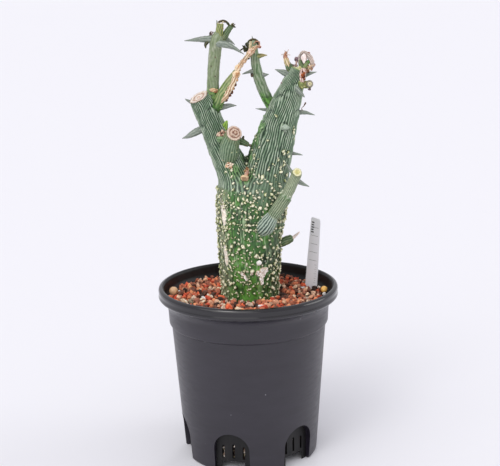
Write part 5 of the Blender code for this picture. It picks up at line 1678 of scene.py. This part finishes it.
def make_middle_shoot(green, dry):
    """The shoot behind the fork, and its dead buds."""
    growth = Shape()
    stem = (
        (27.0, 14.5, 314.0, 4.2), (22.8, 16, 323.4, 4.9), (17.4, 16, 334.4, 4.9), (12.9, 16, 347.4, 4.8),
        (10.6, 16, 360.0, 4.1), (9.6, 16, 369.0, 3.7), (9.2, 16.4, 375.6, 3.5), (8.8, 17.0, 379.2, 2.0),
    )
    stalk(growth, stem, MIDDLE, 56, 0.55)
    for stations in MIDDLE_SPINES:
        spine(growth, stations)
    spine(growth, ((10.6, 15, 364.6, 2.4), (14.8, 14, 365.8, 2.0), (21.0, 13, 366.2, 0.3)), YELLOW_GREEN)
    bud(growth, (7.5, 14.6, 349.2), (1.7, 1.4, 2.0), "5c4a38", "2c2620", 291, 2)
    peel = ((5.8, 12.6, 368.4, 1.0), (6.0, 12.4, 373.0, 1.3), (6.6, 12.8, 378.0, 0.9))
    ribbon(growth, peel, TAN, 292, 0.15)
    growth.build("middle_shoot_stem", green, "green_skin", "middle_shoot")
    growth = Shape()
    for seed, (x, z, size) in enumerate(MIDDLE_BUDS, 293):
        bud(growth, (x, 14.4, z), (size, size * 0.8, size * 1.1), "4c4f38", "1f201a", seed, 2)
    arch = (
        (3.0, 14.6, 374.4, 1.0), (4.6, 15.0, 378.0, 1.1), (8.2, 15.6, 380.2, 1.2), (12.0, 15.4, 379.0, 1.0),
        (13.4, 14.6, 375.6, 0.8),
    )
    crumpled(growth, arch, DARK_BUD, 11)
    upright = ((4.4, 15.2, 363.6, 1.5), (3.6, 14.6, 369.0, 1.2), (4.0, 14.8, 375.0, 1.2))
    crumpled(growth, upright, DARK_BUD, 12)
    twig = ((3.2, 14.4, 372.4, 0.9), (0.2, 13.6, 372.4, 0.8), (-2.8, 13, 370.8, 0.4))
    crumpled(growth, twig, DARK_BUD, 13)
    tuft(growth, (2.6, 14.2, 371.6), (-0.6, -0.3, 0.8), 6, 3.4, DARK_BUD, 43, 0.55)
    growth.build("middle_shoot_dried_buds", dry, "dark_bark", "middle_shoot_dried_tip")


def husk_face(shape, centre, size):
    """The pale inside of a split husk: an upright heart with a brown edge."""
    points, faces = BALLS[4]
    x, y, z = points.T
    narrow = 0.45 + 0.55 * ramp(z, -1.0, 0.1)
    moved = np.stack([x * narrow, y, z], axis=-1) * size
    moved = moved * (1 + 0.1 * noise(points, 0.4, 441))[:, None]
    edge = np.hypot(x, z) + 0.12 * noise(points, 0.3, 442)
    inside = mix(colour("fbf1ec"), colour("e2c4b8"), ramp(noise(points, (0.16, 1, 0.9), 443), 0.1, 0.6))
    shape.add(moved + np.asarray(centre), faces, mix(inside, colour("6f5548"), ramp(edge, 0.72, 0.96)))


def make_crown_left(green, dry):
    """The sprout at the left of the right arm's cut top, and its dried tip with four spikes."""
    growth = Shape()
    sprout = ((42.6, 8, 351.0, 2.2), (40.6, 7.8, 354.4, 3.1), (39.2, 7.4, 358.0, 2.8))
    stalk(growth, sprout, DARK_GREEN, 28, 0.45)
    bud(growth, (42.4, 7.2, 357.0), 1.7, "59684a", "2f3a26", 301, 2)
    growth.build("crown_left_sprout_stem", green, "dark_green_skin", "crown_left_sprout")
    growth = Shape()
    lower = ((39.4, 7.2, 357.0, 2.6), (38.2, 7, 360.2, 2.9), (37.4, 7, 363.0, 2.4))
    upper = ((37.3, 7, 363.2, 2.0), (36.9, 7, 366.2, 1.8), (37.8, 7, 368.6, 1.4))
    crumpled(growth, lower, TAN, 14, 24, 0.9, 0.35)
    crumpled(growth, upper, RUSTY, 15, 18, 0.9, 0.35)
    flakes(growth, (37.4, 6.2, 365.6), (1.8, 1.2, 2.6), 9, "e6bfa6", "6b4232", 302, (0.5, 1.0))
    for seed, (x, z) in enumerate(((39.6, 370.9), (33.6, 366.8), (41.0, 366.4), (36.6, 370.2)), 303):
        spike = ((37.6, 7, 366.8, 0.9), ((x + 37.6) / 2, 6.8, (z + 367.4) / 2, 0.7), (x, 6.6, z, 0.8))
        crumpled(growth, spike, MAUVE, seed, 10, 0.8, 0.2)
    growth.build("crown_left_dried_tip", dry, "dry_stem", "crown_left_tip")


def make_crown_right(green, dry):
    """The two sprouts at the right of the cut top, and the dried husk that hoods them."""
    growth = Shape()
    right = ((57.0, 6.2, 360.4, 1.8), (55.2, 6.4, 357.6, 2.3), (53.6, 6.8, 353.4, 2.8))
    left = ((49.4, 7.0, 361.4, 1.5), (50.6, 6.8, 357.8, 2.0), (52.8, 7.2, 353.4, 2.4))
    stalk(growth, right, WITHERING, 28, 0.45)
    stalk(growth, left, DARK_GREEN, 24, 0.45)
    growth.build("crown_right_growth_stem", green, "dark_green_skin", "crown_right_growth")
    growth = Shape()
    husk_face(growth, (53.1, 5.4, 363.2), (3.0, 1.3, 4.9))
    hood = (
        (49.4, 6.8, 358.4, 1.0), (48.9, 6.8, 363.0, 1.2), (50.4, 6.8, 367.0, 1.3), (53.6, 6.6, 368.6, 1.4),
        (56.8, 6.4, 366.4, 2.1), (59.0, 6.2, 362.6, 2.4), (60.4, 6.0, 358.8, 2.2), (60.4, 5.8, 355.6, 1.7),
    )
    crumpled(growth, hood, MAUVE, 18, 24, 0.9, 0.4)
    flakes(growth, (58.2, 5.0, 355.4), (3.8, 1.9, 3.6), 30, "e6cba6", "8a5a44", 312, (0.7, 1.6))
    flakes(growth, (49.0, 6.4, 355.4), (5.2, 2.6, 1.5), 22, "f1ecca", "c9c890", 345, (0.8, 1.7))
    flakes(growth, (61.8, 5.6, 357.6), (1.4, 1.2, 2.6), 8, "d9b3a6", "7a5248", 330, (0.5, 1.1))
    flakes(growth, (55.6, 3.4, 352.4), (2.8, 1.6, 2.2), 14, "8a6248", "33211a", 360, (0.6, 1.4))
    flakes(growth, (57.4, 6.2, 367.6), (1.2, 1.0, 1.2), 5, "d6b3a8", "7a564e", 352, (0.5, 1.0))
    growth.build("crown_right_dried_husk", dry, "pale_cork", "crown_right_husk")


def make_crown_front(green, dry):
    """The dried strip, the small cut stub and the dried bud in front of the right arm's top."""
    growth = Shape()
    strip = (
        (52.4, 0.6, 353.6, 2.5), (51.8, -0.6, 350.2, 2.7), (51.4, -1.6, 347.0, 2.4),
        (51.0, -2.4, 344.4, 1.9),
    )
    ribbon(growth, strip, ROSY, 19)
    flakes(growth, (52.2, -2.6, 348.8), (1.7, 1.0, 4.4), 24, "b8622f", "54291a", 355, (0.6, 1.4))
    growth.build("crown_dried_strip", dry, "dry_stem", "crown_strip")

    growth = Shape()
    stub = (
        (50.4, 3.4, 341.2, 3.3), (53.4, 0.8, 340.8, 3.2), (56.2, -1.4, 341.0, 3.3),
        (57.5, -4.4, 341.8, 3.4),
    )
    cut_stalk(growth, stub, YELLOW_GREEN, CROWN_STUB_CUT, 64, 0.4, 0.2, 371)
    bud(growth, (50.2, 0.2, 340.4), (3.3, 2.8, 3.5), "a5ab66", "6c7c42", 372)
    flakes(growth, (52.4, -2.2, 340.2), (2.2, 1.2, 2.6), 7, "e9e2ac", "7d8350", 373, (0.5, 1.0))
    bud(growth, (57.4, -3.0, 337.0), (1.5, 1.2, 1.1), "7a6468", "3f3134", 381, 2)
    growth.build("crown_cut_stub_stem", green, "olive_skin", "crown_cut_stub")
    growth = Shape()
    crumpled(growth, ((46.4, 8, 353.4, 1.3), (46.4, 7.6, 357.6, 1.0), (46.6, 7.2, 361.0, 1.4)), ROSY, 20, 12)
    bud(growth, (46.7, 7.0, 362.6), (1.9, 1.5, 2.2), "7d686c", "453638", 382)
    flakes(growth, (45.2, 7.0, 357.0), (2.3, 1.5, 1.8), 10, "bfa39c", "5b4448", 383, (0.6, 1.2))
    growth.build("crown_dried_bud", dry, "dark_bark", "crown_bud")


BEADS = (  # (piece, CAD node, slot, place, size, colour, colour of the blotches)
    ("tan_ball", "tan_bead", "clay", (-69.5, 9, 151.3), 4.3, "e4b88c", "b9875c"),
    ("yellow_ball", "yellow_bead", "amber_pellet", (70.6, 8, 150.6), 3.2, "ffc76a", "ec9c3c"),
)


def make_loose(stone, bead):
    """The two round beads and the white chip that lie on the grit."""
    blotches = ramp(noise(BALLS[3][0], 0.5, 321), 0.0, 0.7)
    for name, node, slot, place, size, tone, spots in BEADS:
        shape = Shape()
        lump(shape, place, size, mix(colour(tone), colour(spots), blotches), 0.03, 3, 322)
        shape.build(name, bead, slot, node)
    shape = Shape()
    lump(shape, (70, 0, 148.5), (1.9, 1.6, 1.5), colour("ece8e4"), 0.25, 3, 323)
    shape.build("white_pebble", stone, "white_pumice", "white_chip")


# The plant label. Its own y runs up it from the foot, and z out of its front.
LABEL_HALF = 5.95
LABEL_TIP_Y = -40
LABEL_POINT_Y = -28  # the point under the grit starts here
LABEL_TOP_Y = 67
LABEL_CORNER = 2
LABEL_CORNER_Y = LABEL_TOP_Y - LABEL_CORNER
LABEL_FRONT = 0.42
LABEL_BACK = -0.28
LABEL_CURL = -0.175  # how far its edges lie behind its middle
LABEL_TURN = math.radians(-24)
LABEL_LEAN = math.radians(4.6)
LABEL_TWIST = math.radians(-24)
LABEL_WHITES = ((0, (0.84, 0.84, 0.885)), (1, (0.90, 0.90, 0.945)))
INK = (0.05, 0.05, 0.06)
INK_LIFT = 0.04
RULED_LINES = (58.0, 50.0, 42.0, 34.0, 26.0)
RULED_HALF = 4.2  # half a line's length
RULED_THICK = 0.12  # and half its height
BARS = 5
BAR_LEFT = -4.6
BAR_RIGHTS = (-1.2, -1.7)  # by turns
BAR_ENDS = (52.6, 53.8)  # of the lowest bar
BAR_STEP = 2.3
TICKS = 9
TICK_LENGTHS = (1.9, 1.1)  # by turns
TICK_TOP = 22
TICK_STEP = 2.2
TICK_THICK = 0.1  # half a tick's height


def twisted(points):
    """Turns the label's points about its long axis, more towards its top."""
    turn = LABEL_TWIST * np.clip(points[:, 1] / LABEL_CORNER_Y, 0, 1)
    x, y, z = points.T
    return np.stack([x * np.cos(turn) + z * np.sin(turn), y, z * np.cos(turn) - x * np.sin(turn)], axis=-1)


def label_grid(rows, columns, z):
    """Points of one face of the label, as wide as it is at each row."""
    point = LABEL_HALF * (rows - LABEL_TIP_Y) / (LABEL_POINT_Y - LABEL_TIP_Y)
    half = np.where(rows < LABEL_POINT_Y, point, LABEL_HALF)
    arc = LABEL_CORNER * np.sqrt(np.clip(1 - ((rows - LABEL_CORNER_Y) / LABEL_CORNER) ** 2, 0, 1))
    half = np.where(rows > LABEL_CORNER_Y, LABEL_HALF - LABEL_CORNER + arc, half)
    curl = LABEL_CURL * columns**2
    return np.stack(np.broadcast_arrays(half[:, None] * columns, rows[:, None], z + curl), axis=-1)


def label_place():
    turn = Matrix.Rotation(LABEL_TURN, 4, "Z")
    lean = Matrix.Rotation(LABEL_LEAN, 4, "Y")
    return Matrix.Translation(Vector(LABEL_FOOT) * MM) @ turn @ lean @ Matrix.Rotation(math.pi / 2, 4, "X")


def make_label():
    """A thin, slightly curled plate with a buried point and round top corners."""
    columns = np.linspace(-1, 1, 13)
    arc = np.sin(np.radians((10, 25, 40, 55, 70, 80, 90)))
    point = np.linspace(LABEL_TIP_Y + 0.5, LABEL_POINT_Y, 8)
    straight = np.linspace(LABEL_POINT_Y + 2, LABEL_CORNER_Y - 0.5, 40)
    rows = np.concatenate([point, straight, LABEL_CORNER_Y + LABEL_CORNER * arc])
    wide, tall = len(columns), len(rows)
    count = wide * tall
    faces = grid_faces(tall, wide, False).tolist()
    backs = [[i + count for i in reversed(face)] for face in faces]
    rim = list(range(wide))
    rim += [row * wide + wide - 1 for row in range(1, tall)]
    rim += [count - 2 - i for i in range(wide - 1)]
    rim += [row * wide for row in range(tall - 2, 0, -1)]
    edge = [(rim[i], rim[i - 1], rim[i - 1] + count, rim[i] + count) for i in range(len(rim))]
    front, back = (label_grid(rows, columns, z).reshape(-1, 3) for z in (LABEL_FRONT, LABEL_BACK))
    plate = mesh_object("label_plate", twisted(np.vstack([front, back])), faces + backs + edge)
    plate.data.shade_smooth()
    plate.data.set_sharp_from_angle(angle=math.radians(40))
    plate.data.transform(label_place())
    finish = Finish("label_plastic_white", 0.38, 0.5)
    white = finish.show(Base_Color=finish.tones(finish.noise(60), *LABEL_WHITES))
    placed(plate, white, "label_plastic", "plant_label")


def make_print():
    """The label's ruled lines, bars and ticks, as thin raised strips."""
    lines = Shape()
    for y in RULED_LINES:
        strip(lines, -RULED_HALF, RULED_HALF, y - RULED_THICK, y + RULED_THICK)
    for bar in range(BARS):
        strip(lines, BAR_LEFT, BAR_RIGHTS[bar % 2], *[end + BAR_STEP * bar for end in BAR_ENDS])
    for tick in range(TICKS):
        y = TICK_TOP - tick * TICK_STEP
        strip(lines, RULED_HALF - TICK_LENGTHS[tick % 2], RULED_HALF, y - TICK_THICK, y + TICK_THICK)
    ink = Finish("label_ink", 0.6, 0.3).show(Base_Color=(*INK, 1))
    lines.build("label_lines", ink, "label_plastic", "plant_label").data.transform(label_place())


def strip(shape, left, right, bottom, top):
    """A thin printed bar that follows the label's curl."""
    x = np.linspace(left, right, 9)
    z = LABEL_FRONT + INK_LIFT + LABEL_CURL * (x / LABEL_HALF) ** 2
    rows = [np.stack([x, np.full(9, y), z], axis=-1) for y in (bottom, top)]
    shape.add(twisted(np.concatenate(rows)), grid_faces(2, 9, False), INK)


def make_plant(skin, bark, crust):
    warts = Warts()
    make_stems(skin, warts)
    stem_spines().build("stem_spines", skin, "green_skin", "caudex_stem")
    warts.build(crust)
    make_scar(bark)
    make_perlite(bark)
    make_basal_branch(skin)
    make_low_stub(skin, bark)
    make_front_stub(skin)
    make_beside_front_stub(skin, bark)
    make_bud_clusters(bark)
    make_tall_shoot(skin, bark)
    make_withered_shoot(skin, bark)
    make_middle_shoot(skin, bark)
    make_crown_left(skin, bark)
    make_crown_right(skin, bark)
    make_crown_front(skin, bark)


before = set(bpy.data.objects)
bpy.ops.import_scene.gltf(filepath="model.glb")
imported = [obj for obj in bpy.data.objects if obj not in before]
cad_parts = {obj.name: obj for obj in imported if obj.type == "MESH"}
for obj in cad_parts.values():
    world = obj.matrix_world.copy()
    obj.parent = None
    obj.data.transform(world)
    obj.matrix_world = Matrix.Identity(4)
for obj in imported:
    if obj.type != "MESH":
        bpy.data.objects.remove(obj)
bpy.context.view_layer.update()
make_camera()
make_studio()
plant_skin = painted_material("plant_skin", 0.42, 900, 0.10, 0.14, 0.45, (1, 1, 0.5), 0.05)
wart_crust = painted_material("wart_crust", 0.6, 2500, 0.12, 0.15, 0.35)
grit_stone = painted_material("grit_stone", 0.85, 1500, 0.35, 0.35, 0.25)
dry_bark = painted_material("dry_bark", 0.75, 1800, 0.2, 0.25, 0.3)
bead_shell = painted_material("bead_shell", 0.35, 700, 0.05, 0.1, 0.5)
make_pot()
make_grit(grit_stone)
make_plant(plant_skin, dry_bark, wart_crust)
make_loose(grit_stone, bead_shell)
make_label()
make_print()
